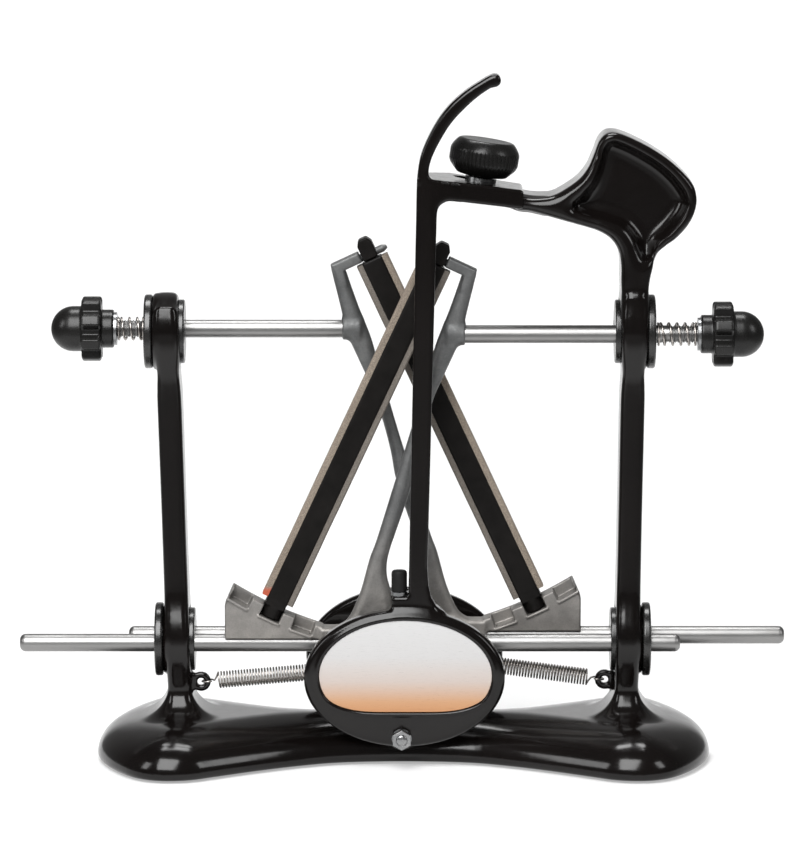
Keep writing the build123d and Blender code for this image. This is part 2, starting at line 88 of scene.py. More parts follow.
def catmull(pts, n=6, closed=True):
    p = np.array(pts, float)
    out = []
    m = len(p)
    for i in range(m if closed else m - 1):
        if closed:
            a, b, c, d = p[(i - 1) % m], p[i], p[(i + 1) % m], p[(i + 2) % m]
        else:
            a, b, c, d = p[max(i - 1, 0)], p[i], p[i + 1], p[min(i + 2, m - 1)]
        for k in range(n):
            t = k / n
            out.append(0.5 * ((2 * b) + (c - a) * t + (2 * a - 5 * b + 4 * c - d) * t * t + (3 * b - a - 3 * c + d) * t ** 3))
    if not closed:
        out.append(p[-1])
    return np.array(out)


def poly(u, v, pts):
    """Signed distance to a closed polygon in the plane, negative inside."""
    u, v = np.broadcast_arrays(np.asarray(u, np.float32), np.asarray(v, np.float32))
    pts = np.array(pts, np.float32)
    best = np.full(u.shape, 1e9, np.float32)
    inside = np.zeros(u.shape, bool)
    n = len(pts)
    for i in range(n):
        ax, ay = pts[i]
        bx, by = pts[(i + 1) % n]
        ex, ey = bx - ax, by - ay
        l2 = ex * ex + ey * ey
        if l2 < 1e-9:
            continue
        wx, wy = u - ax, v - ay
        t = np.clip((wx * ex + wy * ey) / l2, 0, 1)
        dx, dy = wx - ex * t, wy - ey * t
        best = np.minimum(best, dx * dx + dy * dy)
        if ay != by:
            cond = (ay > v) != (by > v)
            xi = ax + (v - ay) * (ex / ey)
            inside ^= cond & (u < xi)
    d = np.sqrt(best)
    return np.where(inside, -d, d)


def along(z, table):
    t = catmull(table, 8, closed=False)
    return np.interp(z, t[:, 0], t[:, 1])


def seg2(u, v, a, b, r0, r1=None):
    """Distance to a thick line in the plane, tapering from r0 to r1."""
    r1 = r0 if r1 is None else r1
    ex, ey = b[0] - a[0], b[1] - a[1]
    t = np.clip(((u - a[0]) * ex + (v - a[1]) * ey) / (ex * ex + ey * ey), 0, 1)
    return np.hypot(u - a[0] - ex * t, v - a[1] - ey * t) - (r0 + (r1 - r0) * t)


EDGES = [((0, 0, 0), (1, 0, 0)), ((0, 1, 0), (1, 1, 0)), ((0, 0, 1), (1, 0, 1)), ((0, 1, 1), (1, 1, 1)),
         ((0, 0, 0), (0, 1, 0)), ((1, 0, 0), (1, 1, 0)), ((0, 0, 1), (0, 1, 1)), ((1, 0, 1), (1, 1, 1)),
         ((0, 0, 0), (0, 0, 1)), ((1, 0, 0), (1, 0, 1)), ((0, 1, 0), (0, 1, 1)), ((1, 1, 0), (1, 1, 1))]


def sdf_mesh(name, fn, lo, hi, h, polish=2):
    """Mesh of the zero surface of fn (millimetres), by surface nets, with its points then moved onto the surface."""
    ax = [np.arange(lo[i] - 2.37 * h, hi[i] + 2.5 * h, h) for i in range(3)]
    f = fn(ax[0][:, None, None], ax[1][None, :, None], ax[2][None, None, :])
    f = np.broadcast_to(f, [len(a) for a in ax]).astype(np.float32)
    s = f < 0
    c = s[:-1, :-1, :-1].astype(np.int8)
    tot = c.copy()
    for dx, dy, dz in ((1, 0, 0), (0, 1, 0), (0, 0, 1), (1, 1, 0), (1, 0, 1), (0, 1, 1), (1, 1, 1)):
        tot = tot + s[dx:s.shape[0] - 1 + dx, dy:s.shape[1] - 1 + dy, dz:s.shape[2] - 1 + dz]
    cells = np.argwhere((tot > 0) & (tot < 8))
    index = np.full(tot.shape, -1, np.int64)
    index[cells[:, 0], cells[:, 1], cells[:, 2]] = np.arange(len(cells))
    acc = np.zeros((len(cells), 3))
    cnt = np.zeros(len(cells))
    for a, b in EDGES:
        va = f[cells[:, 0] + a[0], cells[:, 1] + a[1], cells[:, 2] + a[2]]
        vb = f[cells[:, 0] + b[0], cells[:, 1] + b[1], cells[:, 2] + b[2]]
        m = (va < 0) != (vb < 0)
        t = np.where(m, va / np.where(m, va - vb, 1), 0)
        p = np.array(a) + t[:, None] * (np.array(b) - np.array(a))
        acc[m] += p[m]
        cnt[m] += 1
    v = (cells + acc / cnt[:, None]) * h + np.array([a[0] for a in ax])
    quads = []
    for axis in range(3):
        d = [0, 0, 0]
        d[axis] = 1
        a = s[:s.shape[0] - d[0], :s.shape[1] - d[1], :s.shape[2] - d[2]]
        b = s[d[0]:, d[1]:, d[2]:]
        e = np.argwhere(a != b)
        o1, o2 = (axis + 1) % 3, (axis + 2) % 3
        ok = (e[:, o1] > 0) & (e[:, o2] > 0) & (e[:, o1] < tot.shape[o1]) & (e[:, o2] < tot.shape[o2])
        e = e[ok]
        q = []
        for s1, s2 in ((1, 1), (0, 1), (0, 0), (1, 0)):
            g = e.copy()
            g[:, o1] -= s1
            g[:, o2] -= s2
            q.append(index[g[:, 0], g[:, 1], g[:, 2]])
        q = np.stack(q, 1)
        flip = ~a[e[:, 0], e[:, 1], e[:, 2]]
        q[flip] = q[flip][:, ::-1]
        quads.append(q)
    quads = np.concatenate(quads)
    for _ in range(polish):
        g = np.empty_like(v)
        f0 = np.asarray(fn(v[:, 0], v[:, 1], v[:, 2]), float)
        e = 0.02
        for i in range(3):
            w = v.copy()
            w[:, i] += e
            g[:, i] = (np.asarray(fn(w[:, 0], w[:, 1], w[:, 2]), float) - f0) / e
        n2 = np.maximum((g ** 2).sum(1), 0.25)
        step = (f0 / n2)[:, None] * g
        ln = np.linalg.norm(step, axis=1)
        step *= np.minimum(1, 0.45 * h / np.maximum(ln, 1e-9))[:, None]
        v = v - step
    return make(name, v, quads)


# ------------------------------------------------------------------ mesh helpers (millimetres in, metres out)
def make(name, verts, faces, smooth=True):
    me = bpy.data.meshes.new(name)
    verts = np.asarray(verts, float) * 0.001
    me.from_pydata(verts.tolist(), [], [list(map(int, f)) for f in faces])
    me.validate()
    me.update()
    if smooth:
        me.polygons.foreach_set("use_smooth", [True] * len(me.polygons))
    ob = bpy.data.objects.new(name, me)
    bpy.context.scene.collection.objects.link(ob)
    return ob


def fix_normals(ob):
    bm = bmesh.new()
    bm.from_mesh(ob.data)
    bmesh.ops.recalc_face_normals(bm, faces=bm.faces)
    bm.to_mesh(ob.data)
    bm.free()
    return ob


def sharp_by_angle(ob, deg=35):
    """Smooth shading that breaks at edges sharper than this."""
    me = ob.data
    bm = bmesh.new()
    bm.from_mesh(me)
    for f in bm.faces:
        f.smooth = True
    for e in bm.edges:
        e.smooth = not (len(e.link_faces) == 2 and e.calc_face_angle(0) > math.radians(deg))
    bm.to_mesh(me)
    bm.free()
    return ob


def mirrored(ob, name):
    """Left-arm copy: mirrored across the middle and set into the rear plane."""
    me = ob.data.copy()
    me.name = name
    me.transform(Matrix.Translation((0, (YB - YA) * 0.001, 0)) @ Matrix.Diagonal((-1, 1, 1, 1)))
    me.flip_normals()
    o = bpy.data.objects.new(name, me)
    bpy.context.scene.collection.objects.link(o)
    return o


def lathe(name, profile, origin, axis, n=64, radius_of=None):
    """Solid of revolution about an axis. profile is (radius, height) with both ends on the axis.
    radius_of(r, h, angle) may reshape it."""
    axis = Vector(axis).normalized()
    side = Vector((0, 1, 0)) if abs(axis.y) < 0.9 else Vector((1, 0, 0))
    e1 = axis.cross(side).normalized()
    e2 = axis.cross(e1).normalized()
    o = Vector(origin)
    verts, faces = [], []
    first = last = None
    rings = []
    for r, hgt in profile:
        if r < 1e-6:
            rings.append([len(verts)])
            verts.append(o + axis * hgt)
        else:
            ring = []
            for k in range(n):
                a = 2 * math.pi * k / n
                rr = radius_of(r, hgt, a) if radius_of else r
                ring.append(len(verts))
                verts.append(o + axis * hgt + (e1 * math.cos(a) + e2 * math.sin(a)) * rr)
            rings.append(ring)
    for a, b in zip(rings, rings[1:]):
        for k in range(n):
            k2 = (k + 1) % n
            if len(a) == 1 and len(b) == 1:
                continue
            if len(a) == 1:
                faces.append((a[0], b[k], b[k2]))
            elif len(b) == 1:
                faces.append((a[k], b[0], a[k2]))
            else:
                faces.append((a[k], b[k], b[k2], a[k2]))
    return fix_normals(make(name, [tuple(v) for v in verts], faces))


def sweep(name, path, radius, n=12, closed=False):
    """Round wire along a dense path, with turned-in ends."""
    p = np.array(path, float)
    t = np.gradient(p, axis=0)
    t /= np.linalg.norm(t, axis=1)[:, None]
    u = np.cross(t[0], [0.3, 0.9, 0.2])
    u /= np.linalg.norm(u)
    rings = []
    for i in range(len(p)):
        u = u - t[i] * np.dot(u, t[i])
        u /= np.linalg.norm(u)
        w = np.cross(t[i], u)
        rings.append([p[i] + radius * (math.cos(2 * math.pi * k / n) * u + math.sin(2 * math.pi * k / n) * w) for k in range(n)])
    verts = [tuple(v) for r in rings for v in r]
    faces = []
    for i in range(len(p) - 1):
        for k in range(n):
            k2 = (k + 1) % n
            faces.append((i * n + k, i * n + k2, (i + 1) * n + k2, (i + 1) * n + k))
    for end, s in ((0, -1), (len(p) - 1, 1)):
        c = len(verts)
        verts.append(tuple(p[end] + t[end] * radius * 0.5 * s))
        for k in range(n):
            k2 = (k + 1) % n
            faces.append((c, end * n + k, end * n + k2))
    return fix_normals(make(name, verts, faces))


def bevelled(name, outline, y0, y1, bevel=0.5, seg=3):
    """Prism of an outline in the front plane (x, z), with rounded edges."""
    verts = [(x, y0, z) for x, z in outline] + [(x, y1, z) for x, z in outline]
    n = len(outline)
    faces = [tuple(range(n)), tuple(range(2 * n - 1, n - 1, -1))] + [(i, (i + 1) % n, n + (i + 1) % n, n + i) for i in range(n)]
    ob = fix_normals(make(name, verts, faces))
    return bevel_edges(ob, bevel, seg)


def bevel_edges(ob, bevel, seg=3, deg=25):
    bm = bmesh.new()
    bm.from_mesh(ob.data)
    sharp = [e for e in bm.edges if len(e.link_faces) == 2 and e.calc_face_angle(0) > math.radians(deg)]
    bmesh.ops.bevel(bm, geom=sharp, offset=bevel * 0.001, segments=seg, profile=0.6, affect="EDGES", clamp_overlap=True)
    bmesh.ops.recalc_face_normals(bm, faces=bm.faces)
    bm.to_mesh(ob.data)
    bm.free()
    me = ob.data
    me.polygons.foreach_set("use_smooth", [True] * len(me.polygons))
    m = ob.modifiers.new("wn", "WEIGHTED_NORMAL")
    m.keep_sharp = True
    return ob


def join(name, obs):
    bm = bmesh.new()
    for o in obs:
        dg = bpy.context.evaluated_depsgraph_get()
        me = o.evaluated_get(dg).to_mesh()
        bm.from_mesh(me)
        o.evaluated_get(dg).to_mesh_clear()
    me = bpy.data.meshes.new(name)
    bm.to_mesh(me)
    bm.free()
    me.polygons.foreach_set("use_smooth", [True] * len(me.polygons))
    out = bpy.data.objects.new(name, me)
    bpy.context.scene.collection.objects.link(out)
    for o in obs:
        bpy.data.objects.remove(o, do_unlink=True)
    return out


# ------------------------------------------------------------------ materials
def new_mat(name):
    m = bpy.data.materials.new(name)
    m.use_nodes = True
    nt = m.node_tree
    nt.nodes.clear()
    out = nt.nodes.new("ShaderNodeOutputMaterial")
    bsdf = nt.nodes.new("ShaderNodeBsdfPrincipled")
    nt.links.new(bsdf.outputs["BSDF"], out.inputs["Surface"])
    tc = nt.nodes.new("ShaderNodeTexCoord")
    return m, nt, bsdf, tc.outputs["Object"]


def noise(nt, vec, scale, detail=4.0, rough=0.55, stretch=None):
    if stretch:
        mp = nt.nodes.new("ShaderNodeMapping")
        mp.inputs["Scale"].default_value = stretch
        nt.links.new(vec, mp.inputs["Vector"])
        vec = mp.outputs["Vector"]
    n = nt.nodes.new("ShaderNodeTexNoise")
    n.inputs["Scale"].default_value = scale
    n.inputs["Detail"].default_value = detail
    n.inputs["Roughness"].default_value = rough
    nt.links.new(vec, n.inputs["Vector"])
    return n.outputs["Fac"]


def ramp(nt, fac, stops):
    r = nt.nodes.new("ShaderNodeValToRGB")
    el = r.color_ramp.elements
    while len(el) < len(stops):
        el.new(0.5)
    for e, (p, c) in zip(el, stops):
        e.position = p
        e.color = tuple(c) + (1,) if len(c) == 3 else c
    nt.links.new(fac, r.inputs["Fac"])
    return r.outputs["Color"]


def remap(nt, fac, a, b, lo=0.3, hi=0.7):
    m = nt.nodes.new("ShaderNodeMapRange")
    m.inputs["From Min"].default_value = lo
    m.inputs["From Max"].default_value = hi
    m.inputs["To Min"].default_value = a
    m.inputs["To Max"].default_value = b
    nt.links.new(fac, m.inputs["Value"])
    return m.outputs["Result"]


def bump(nt, bsdf, fac, strength, dist, prev=None):
    b = nt.nodes.new("ShaderNodeBump")
    b.inputs["Strength"].default_value = strength
    b.inputs["Distance"].default_value = dist
    nt.links.new(fac, b.inputs["Height"])
    if prev is not None:
        nt.links.new(prev, b.inputs["Normal"])
    nt.links.new(b.outputs["Normal"], bsdf.inputs["Normal"])
    return b.outputs["Normal"]


def finish_mat(name, c0, c1, r0, r1, metallic=0.0, cscale=60, fine=900, bstr=0.2, bdist=0.00005, coat=0.0, coat_rough=0.05,
               stretch=None, broad=None, spec=0.5, aniso=0.0):
    m, nt, b, co = new_mat(name)
    b.inputs["Metallic"].default_value = metallic
    b.inputs["Coat Weight"].default_value = coat
    b.inputs["Coat Roughness"].default_value = coat_rough
    b.inputs["Specular IOR Level"].default_value = spec
    b.inputs["Anisotropic"].default_value = aniso
    a = noise(nt, co, cscale, 5)
    f = noise(nt, co, fine, 3, 0.6, stretch)
    nt.links.new(ramp(nt, a, [(0.3, c0), (0.7, c1)]), b.inputs["Base Color"])
    nt.links.new(remap(nt, f, r0, r1), b.inputs["Roughness"])
    n = bump(nt, b, f, bstr, bdist)
    if broad:
        g = noise(nt, co, broad[0], 2)
        bump(nt, b, g, broad[1], broad[2], n)
    return m


M = {}
# glossy black stove enamel over a casting: faint orange peel and slow variation of gloss
M["enamel"] = finish_mat("black_enamel_finish", (0.0030, 0.0023, 0.0021), (0.0048, 0.0037, 0.0034), 0.13, 0.18, 0.0, 25, 260, 0.04, 0.00001, coat=0.0, coat_rough=0.06,
                         broad=(45, 0.06, 0.0002), spec=0.32)
M["plastic"] = finish_mat("black_moulded_plastic", (0.005, 0.0047, 0.0045), (0.008, 0.0077, 0.0073), 0.25, 0.35, 0.0, 80, 1500, 0.10, 0.00002, spec=0.32)
M["bush"] = finish_mat("bush_plastic_finish", (0.007, 0.007, 0.007), (0.012, 0.0115, 0.011), 0.20, 0.34, 0.0, 80, 1400, 0.18, 0.00002, coat=0.2, coat_rough=0.15)
M["rubber"] = finish_mat("black_rubber", (0.005, 0.005, 0.005), (0.010, 0.0098, 0.0095), 0.50, 0.72, 0.0, 120, 1800, 0.4, 0.00006, spec=0.2)
M["holder"] = finish_mat("bar_holder_plastic", (0.005, 0.0045, 0.0042), (0.009, 0.008, 0.0075), 0.34, 0.46, 0.0, 120, 1500, 0.12, 0.00003, spec=0.10)
M["rod"] = finish_mat("ground_rod_steel", (0.25, 0.248, 0.245), (0.29, 0.287, 0.283), 0.37, 0.42, 1.0, 35, 60, 0.0, 0.00001, stretch=(3, 1, 1))
M["wire"] = finish_mat("spring_wire_steel", (0.34, 0.315, 0.295), (0.46, 0.43, 0.405), 0.24, 0.36, 1.0, 300, 1500, 0.15, 0.00002)
M["zinc"] = finish_mat("zinc_plated_steel", (0.22, 0.225, 0.23), (0.31, 0.312, 0.315), 0.24, 0.36, 1.0, 260, 600, 0.08, 0.00001)


def cast_alloy(name, c0, c1, c2):
    """Sand-cast aluminium: grey skin with fine grain, dull patches and slightly brighter rubbed places; painted light
    by height: the lower part is painted lighter and warmer and the upper part darker, as front light falls.
    """
    m, nt, b, co = new_mat(name)
    b.inputs["Metallic"].default_value = 0.72
    b.inputs["Specular IOR Level"].default_value = 0.4
    patches = noise(nt, co, 70, 6, 0.62)
    grain = noise(nt, co, 1500, 4, 0.7)
    skin = noise(nt, co, 420, 5, 0.6)
    col = ramp(nt, patches, [(0.30, c0), (0.52, c1), (0.72, c2)])
    mix = nt.nodes.new("ShaderNodeMix")
    mix.data_type = "RGBA"
    mix.blend_type = "MULTIPLY"
    mix.inputs["Factor"].default_value = 0.5
    nt.links.new(col, mix.inputs["A"])
    nt.links.new(ramp(nt, grain, [(0.25, (0.62, 0.62, 0.61)), (0.6, (1.0, 1.0, 1.0))]), mix.inputs["B"])
    # painted light by height: low parts (the quadrants) painted lighter and warmer, higher parts painted darker
    sep = nt.nodes.new("ShaderNodeSeparateXYZ")
    nt.links.new(co, sep.inputs["Vector"])
    painted_light_tone = nt.nodes.new("ShaderNodeMix")
    painted_light_tone.data_type = "RGBA"
    painted_light_tone.blend_type = "MULTIPLY"
    painted_light_tone.inputs["Factor"].default_value = 1.0
    nt.links.new(mix.outputs["Result"], painted_light_tone.inputs["A"])
    nt.links.new(ramp(nt, remap(nt, sep.outputs["Z"], 0.0, 1.0, 0.05, 0.13), [(0.0, (1.0, 0.935, 0.88)), (0.35, (0.92, 0.88, 0.845)), (0.8, (0.56, 0.565, 0.57))]), painted_light_tone.inputs["B"])
    nt.links.new(painted_light_tone.outputs["Result"], b.inputs["Base Color"])
    nt.links.new(remap(nt, skin, 0.42, 0.66), b.inputs["Roughness"])
    n = bump(nt, b, grain, 0.55, 0.00008)
    bump(nt, b, skin, 0.35, 0.00018, n)
    return m


M["alloy"] = cast_alloy("sand_cast_aluminium", (0.203, 0.205, 0.204), (0.273, 0.275, 0.273), (0.355, 0.356, 0.35))


def abrasive(name, c0, c1, c2, grit, dab=False):
    """Bonded abrasive: a field of grains in slightly different tans, dull, with a rough surface."""
    m, nt, b, co = new_mat(name)
    v = nt.nodes.new("ShaderNodeTexVoronoi")
    v.inputs["Scale"].default_value = grit
    nt.links.new(co, v.inputs["Vector"])
    sep = nt.nodes.new("ShaderNodeSeparateColor")
    nt.links.new(v.outputs["Color"], sep.inputs["Color"])
    col = ramp(nt, sep.outputs["Red"], [(0.1, c0), (0.55, c1), (0.95, c2)])
    wear = noise(nt, co, 45, 4, 0.6)
    mix = nt.nodes.new("ShaderNodeMix")
    mix.data_type = "RGBA"
    mix.blend_type = "MULTIPLY"
    mix.inputs["Factor"].default_value = 0.6
    nt.links.new(col, mix.inputs["A"])
    nt.links.new(ramp(nt, wear, [(0.3, (0.72, 0.70, 0.68)), (0.65, (1.0, 1.0, 1.0))]), mix.inputs["B"])
    out = mix.outputs["Result"]
    if dab:
        # a dab of orange paint on the lower end
        xyz = nt.nodes.new("ShaderNodeSeparateXYZ")
        nt.links.new(co, xyz.inputs["Vector"])
        paint = nt.nodes.new("ShaderNodeMix")
        paint.data_type = "RGBA"
        end = remap(nt, xyz.outputs["Z"], 0.85, 0.0, 0.0786, 0.0806)
        one_bar = nt.nodes.new("ShaderNodeMath")
        one_bar.operation = "MULTIPLY"
        nt.links.new(end, one_bar.inputs[0])
        nt.links.new(remap(nt, xyz.outputs["X"], 1.0, 0.0, -0.001, 0.001), one_bar.inputs[1])
        nt.links.new(one_bar.outputs[0], paint.inputs["Factor"])
        nt.links.new(out, paint.inputs["A"])
        paint.inputs["B"].default_value = (0.42, 0.06, 0.02, 1)
        out = paint.outputs["Result"]
    nt.links.new(out, b.inputs["Base Color"])
    nt.links.new(remap(nt, wear, 0.62, 0.88), b.inputs["Roughness"])
    b.inputs["Specular IOR Level"].default_value = 0.35
    bump(nt, b, v.outputs["Distance"], 0.5, 0.00010)
    return m


M["coarse"] = abrasive("coarse_abrasive_grit", (0.137, 0.112, 0.089), (0.228, 0.189, 0.152), (0.33, 0.28, 0.228), 5200, True)
M["fine"] = abrasive("fine_abrasive_grit", (0.096, 0.084, 0.072), (0.152, 0.134, 0.116), (0.224, 0.2, 0.176), 7000)


def badge_mat():
    """Bare foil badge: pale satin silver with a painted tan reflection along its lower edge, the colour warming and
    darkening towards it, with fine brushing.
    """
    m, nt, b, co = new_mat("badge_satin_foil")
    sep = nt.nodes.new("ShaderNodeSeparateXYZ")
    nt.links.new(co, sep.inputs["Vector"])
    h = remap(nt, sep.outputs["Z"], 0.0, 1.0, 0.0264, 0.0684)
    # painted reflection: the colour is painted warmer, tan and darker towards the lower edge
    col = ramp(nt, h, [(0.0, (0.485, 0.228, 0.10)), (0.12, (0.51, 0.285, 0.153)), (0.34, (0.51, 0.44, 0.40)), (0.60, (0.54, 0.532, 0.528)), (1.0, (0.585, 0.585, 0.585))])
    br = noise(nt, co, 300, 3, 0.6, (1, 1, 30))
    mix = nt.nodes.new("ShaderNodeMix")
    mix.data_type = "RGBA"
    mix.blend_type = "MULTIPLY"
    mix.inputs["Factor"].default_value = 0.25
    nt.links.new(col, mix.inputs["A"])
    nt.links.new(ramp(nt, br, [(0.3, (0.8, 0.8, 0.8)), (0.7, (1, 1, 1))]), mix.inputs["B"])
    nt.links.new(mix.outputs["Result"], b.inputs["Base Color"])
    b.inputs["Metallic"].default_value = 0.2
    nt.links.new(remap(nt, br, 0.26, 0.40), b.inputs["Roughness"])
    bump(nt, b, br, 0.12, 0.00002)
    return m


M["badge"] = badge_mat()

done = []


def put(ob, mat, body=None, nodes=()):
    ob.data.materials.clear()
    ob.data.materials.append(mat)
    if body:
        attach(ob, body)
    if nodes:
        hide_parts(*nodes)
    done.append(ob)
    return ob


# ------------------------------------------------------------------ frame casting
half = [(0.0, 20.0), (-27.7, 22.5), (-46.5, 29.5), (-65.0, 39.5), (-83.3, 51.2), (-92.4, 57.0), (-101.6, 59.4),
        (-111.9, 58.2), (-121.6, 51.0), (-131.1, 35.0), (-137.2, 17.0)]
outline = half + [(-138.6, 0.0)] + [(x, -y) for x, y in reversed(half)] + [(-x, -y) for x, y in half[1:]] + [(138.6, 0.0)] + [(-x, y) for x, y in reversed(half[1:])]
outline = catmull(outline, 6)
FEET = [(104.0, 42.0), (104.0, -42.0), (-104.0, 42.0), (-104.0, -42.0)]
rest_pts = [(60.5, 256.1), (66.5, 257.0), (72.5, 260.2), (78.2, 264.5), (81.9, 269.4), (84.3, 275.1), (86.4, 280.8), (89.3, 284.1),
            (93.0, 285.1), (98.1, 283.9), (105.6, 280.5), (111.8, 277.0), (118.2, 272.6), (124.5, 266.9), (128.9, 261.3),
            (130.4, 255.0), (129.4, 249.3), (126.5, 243.6), (121.6, 238.0), (116.6, 234.1), (113.2, 230.0), (110.9, 224.0),
            (109.4, 216.0), (109.1, 206.0), (108.5, 200.0), (98.3, 200.0), (97.7, 206.0), (97.0, 217.0), (96.9, 226.0), (95.6, 232.5), (92.3, 237.6),
            (87.0, 241.0), (80.7, 243.1), (71.3, 245.7), (61.9, 248.4), (56.0, 249.9), (50.0, 251.0), (50.0, 257.0), (56.0, 256.1)]
rest_pts = catmull(rest_pts, 5)
recess_pts = catmull([(90.2, 277.0), (92.8, 279.6), (98.0, 278.2), (106.8, 273.6), (114.5, 268.4), (120.9, 262.0), (124.6, 255.6), (123.6, 250.3), (118.6, 243.4),
                      (112.6, 237.0), (108.4, 229.6), (106.2, 232.4), (103.4, 239.0), (98.6, 244.4), (91.0, 247.6), (80.0, 250.4), (76.8, 252.2), (81.0, 256.4), (85.6, 262.4), (88.4, 270.0)], 5)


def frame_sdf(X, Y, Z):
    d2 = poly(X, Y, outline)
    # crowned top: an ellipse in section, 30 mm deep on the lobes and less on the narrow waist
    ea = np.interp(np.abs(X), [0, 27.7, 46.5, 56, 140], [19.0, 21.5, 27.5, 30.0, 30.0])
    q1, q2 = d2 + ea, Z - 3.2
    ca, cb = np.maximum(q1, 0) / ea, np.maximum(q2, 0) / 17.3
    k0 = np.hypot(ca, cb) + 1e-6
    k1 = np.hypot(ca / ea, cb / 17.3) + 1e-9
    dome = np.where((q1 > 0) & (q2 > 0), k0 * (k0 - 1.0) / k1, np.maximum(d2, Z - 20.5))
    base = np.maximum(dome, rounded(d2, 1.0 - Z, 2.6))
    cols = None
    for xl, xu, zl, top_z in ((-101.7, -105.7, 52.4, 206.0), (101.05, 103.06, 53.1, 211.0)):
        cx = xl + (xu - xl) * (Z - zl) / (194.5 - zl)
        wy = along(Z, [(10, 13.2), (30, 12.6), (42, 12.8), (66, 13.0), (84, 12.0), (110, 11.2), (140, 11.0), (162, 11.6), (178, 13.2), (195, 14.6), (205, 15.0), (225, 15.0)])
        wx = along(Z, [(10, 5.2), (34, 5.25), (46, 5.55), (60, 5.55), (80, 5.4), (120, 5.35), (160, 5.4), (170, 5.2), (176.5, 4.9), (184, 5.45), (194, 5.7), (204, 5.5), (211, 4.75), (218, 5.1), (225, 5.4)])
        side2 = np.abs(Y) - wy
        side2 = np.maximum(side2, Z - top_z)
        side2 = smin(smin(side2, np.hypot(Y, Z - Z_LOW) - 15.9, 11.0), np.hypot(Y, Z - Z_UP) - 17.2, 9.0)
        col = rounded(side2, np.abs(X - cx) - wx, 3.2)
        cols = col if cols is None else np.minimum(cols, col)
    d = union_round(base, cols, 14.0)
    d = smax(d, 1.0 - Z, 0.6)
    d = smax(d, -(np.maximum(np.maximum(d2 + 9.0, Z - 11.0), -smin(np.hypot(np.abs(X) - 104, np.abs(Y) - 42) - 11.5, 50 - np.abs(X), 2.0))), 1.5)
    for x, y in FEET:
        d = np.maximum(d, -np.maximum(np.hypot(X - x, Y - y) - 9.15, Z - 3.05))
    bosses = None
    for x, z, r in ((X_UL, Z_UP, 17.3), (X_UR, Z_UP, 17.3), (X_LL, Z_LOW, 16.0), (X_LR, Z_LOW, 16.0)):
        b = rounded(np.hypot(Y, Z - z) - r, np.abs(X - x) - BOSS_W / 2, 2.0)
        bosses = b if bosses is None else np.minimum(bosses, b)
    d = smin(d, bosses, 0.8)
    r2 = poly(X, Z, rest_pts)
    rest = rounded(r2, np.abs(Y) - 15.0, 4.2)
    rec = rounded(poly(X, Z, recess_pts) - 0.8, 5.6 - np.abs(Y), 6.0)
    rest = smax(rest, -rec, 6.0)
    d = smin(d, rest, 4.0)
    t = (Z - arm_z(X)) * NZ
    tongue = np.maximum(np.maximum(rounded(t, -9.0 - Y, 1.0), rounded(-t - 6.2, Y - 13.0, 1.0)), np.maximum(15.4 - X, X - 62.0))
    d = smin(d, tongue, 3.0)
    ax = (X - CLX) * NX + (Z - arm_z(CLX) - 3.2) * NZ
    rr = np.sqrt(np.maximum((X - CLX) ** 2 + (Y - CLY) ** 2 + (Z - arm_z(CLX) - 3.2) ** 2 - ax ** 2, 0))
    d = np.maximum(d, -np.maximum(rr - 4.06, np.abs(ax) - 17))
    for sx, z, y in ((-1, 36.1, -8.3), (1, 33.6, 8.3)):
        u = X * sx - 91.45
        lug = np.minimum(np.hypot(u, Z - z) - 4.4, np.maximum(np.abs(Z - z) - 3.5 - np.clip(u * 0.12, 0, 1), np.maximum(-u, u - 7)))
        lug = rounded(lug, np.abs(Y - y) - 1.7, 0.8)
        d = smin(d, lug, 2.4)
        d = np.maximum(d, -np.maximum(np.hypot(u, Z - z) - 1.75, np.abs(Y - y) - 4))
    for x, z in ((X_UL, Z_UP), (X_UR, Z_UP), (X_LL, Z_LOW), (X_LR, Z_LOW)):
        rho = np.hypot(Y, Z - z)
        d = np.maximum(d, -np.maximum(rho - 13.9, np.abs(X - x) - 9))
        side = 1 if x > 0 else -1
        d = np.maximum(d, -np.maximum(rho - 17.0, np.maximum(BOSS_W / 2 - (X - x) * side, (X - x) * side - 12)))
        d = np.maximum(d, -np.maximum(rho - 14.7, np.maximum(BOSS_W / 2 + (X - x) * side, -(X - x) * side - 12)))
    d = np.maximum(d, -np.maximum(np.hypot(X + 0.8, Z - 15.0) - 2.7, np.abs(Y) - 40))
    return d


casting = sdf_mesh("frame_casting_body", frame_sdf, (-139, -60, 0), (139, 60, 286), 1.0)
put(casting, M["enamel"], "frame", ["frame_casting"])

# ------------------------------------------------------------------ blade guide
OX, OZ, OA, OB = 0.4, 41.8, 45.0, 31.2
GY0, GY1 = -30.0, -20.0


def oval(X, Z, a, b, cx=OX, cz=OZ):
    """Near-exact distance to an ellipse, close to its edge."""
    u, v = (X - cx) / a, (Z - cz) / b
    k0 = np.sqrt(u * u + v * v) + 1e-6
    k1 = np.sqrt((u / a) ** 2 + (v / b) ** 2) + 1e-9
    return k0 * (k0 - 1.0) / k1


horn_out = catmull([(5.55, 249.4), (5.65, 255.8), (5.8, 262.1), (6.2, 268.4), (7.3, 275.4), (9.5, 281.7), (12.6, 288.0), (16.0, 293.6), (20.1, 298.7), (24.5, 302.8), (28.9, 306.2), (33.3, 309.0), (37.0, 311.2),
                    (39.8, 312.3), (41.9, 311.8), (42.8, 309.9), (42.4, 308.0), (41.0, 306.9)], 4, closed=False)
horn_in = catmull([(38.3, 306.3), (34.5, 303.8), (30.8, 300.9), (27.0, 297.4), (23.3, 293.6), (20.1, 289.6), (17.4, 285.3), (15.0, 281.0), (13.0, 276.8), (11.7, 273.0), (11.1, 269.7), (11.3, 267.6), (12.4, 266.2), (14.2, 265.6)], 4, closed=False)
corner = catmull([(25.6, 255.3), (20.4, 256.0), (18.0, 255.4), (16.1, 254.1), (15.0, 251.9), (14.7, 248.8)], 4, closed=False)
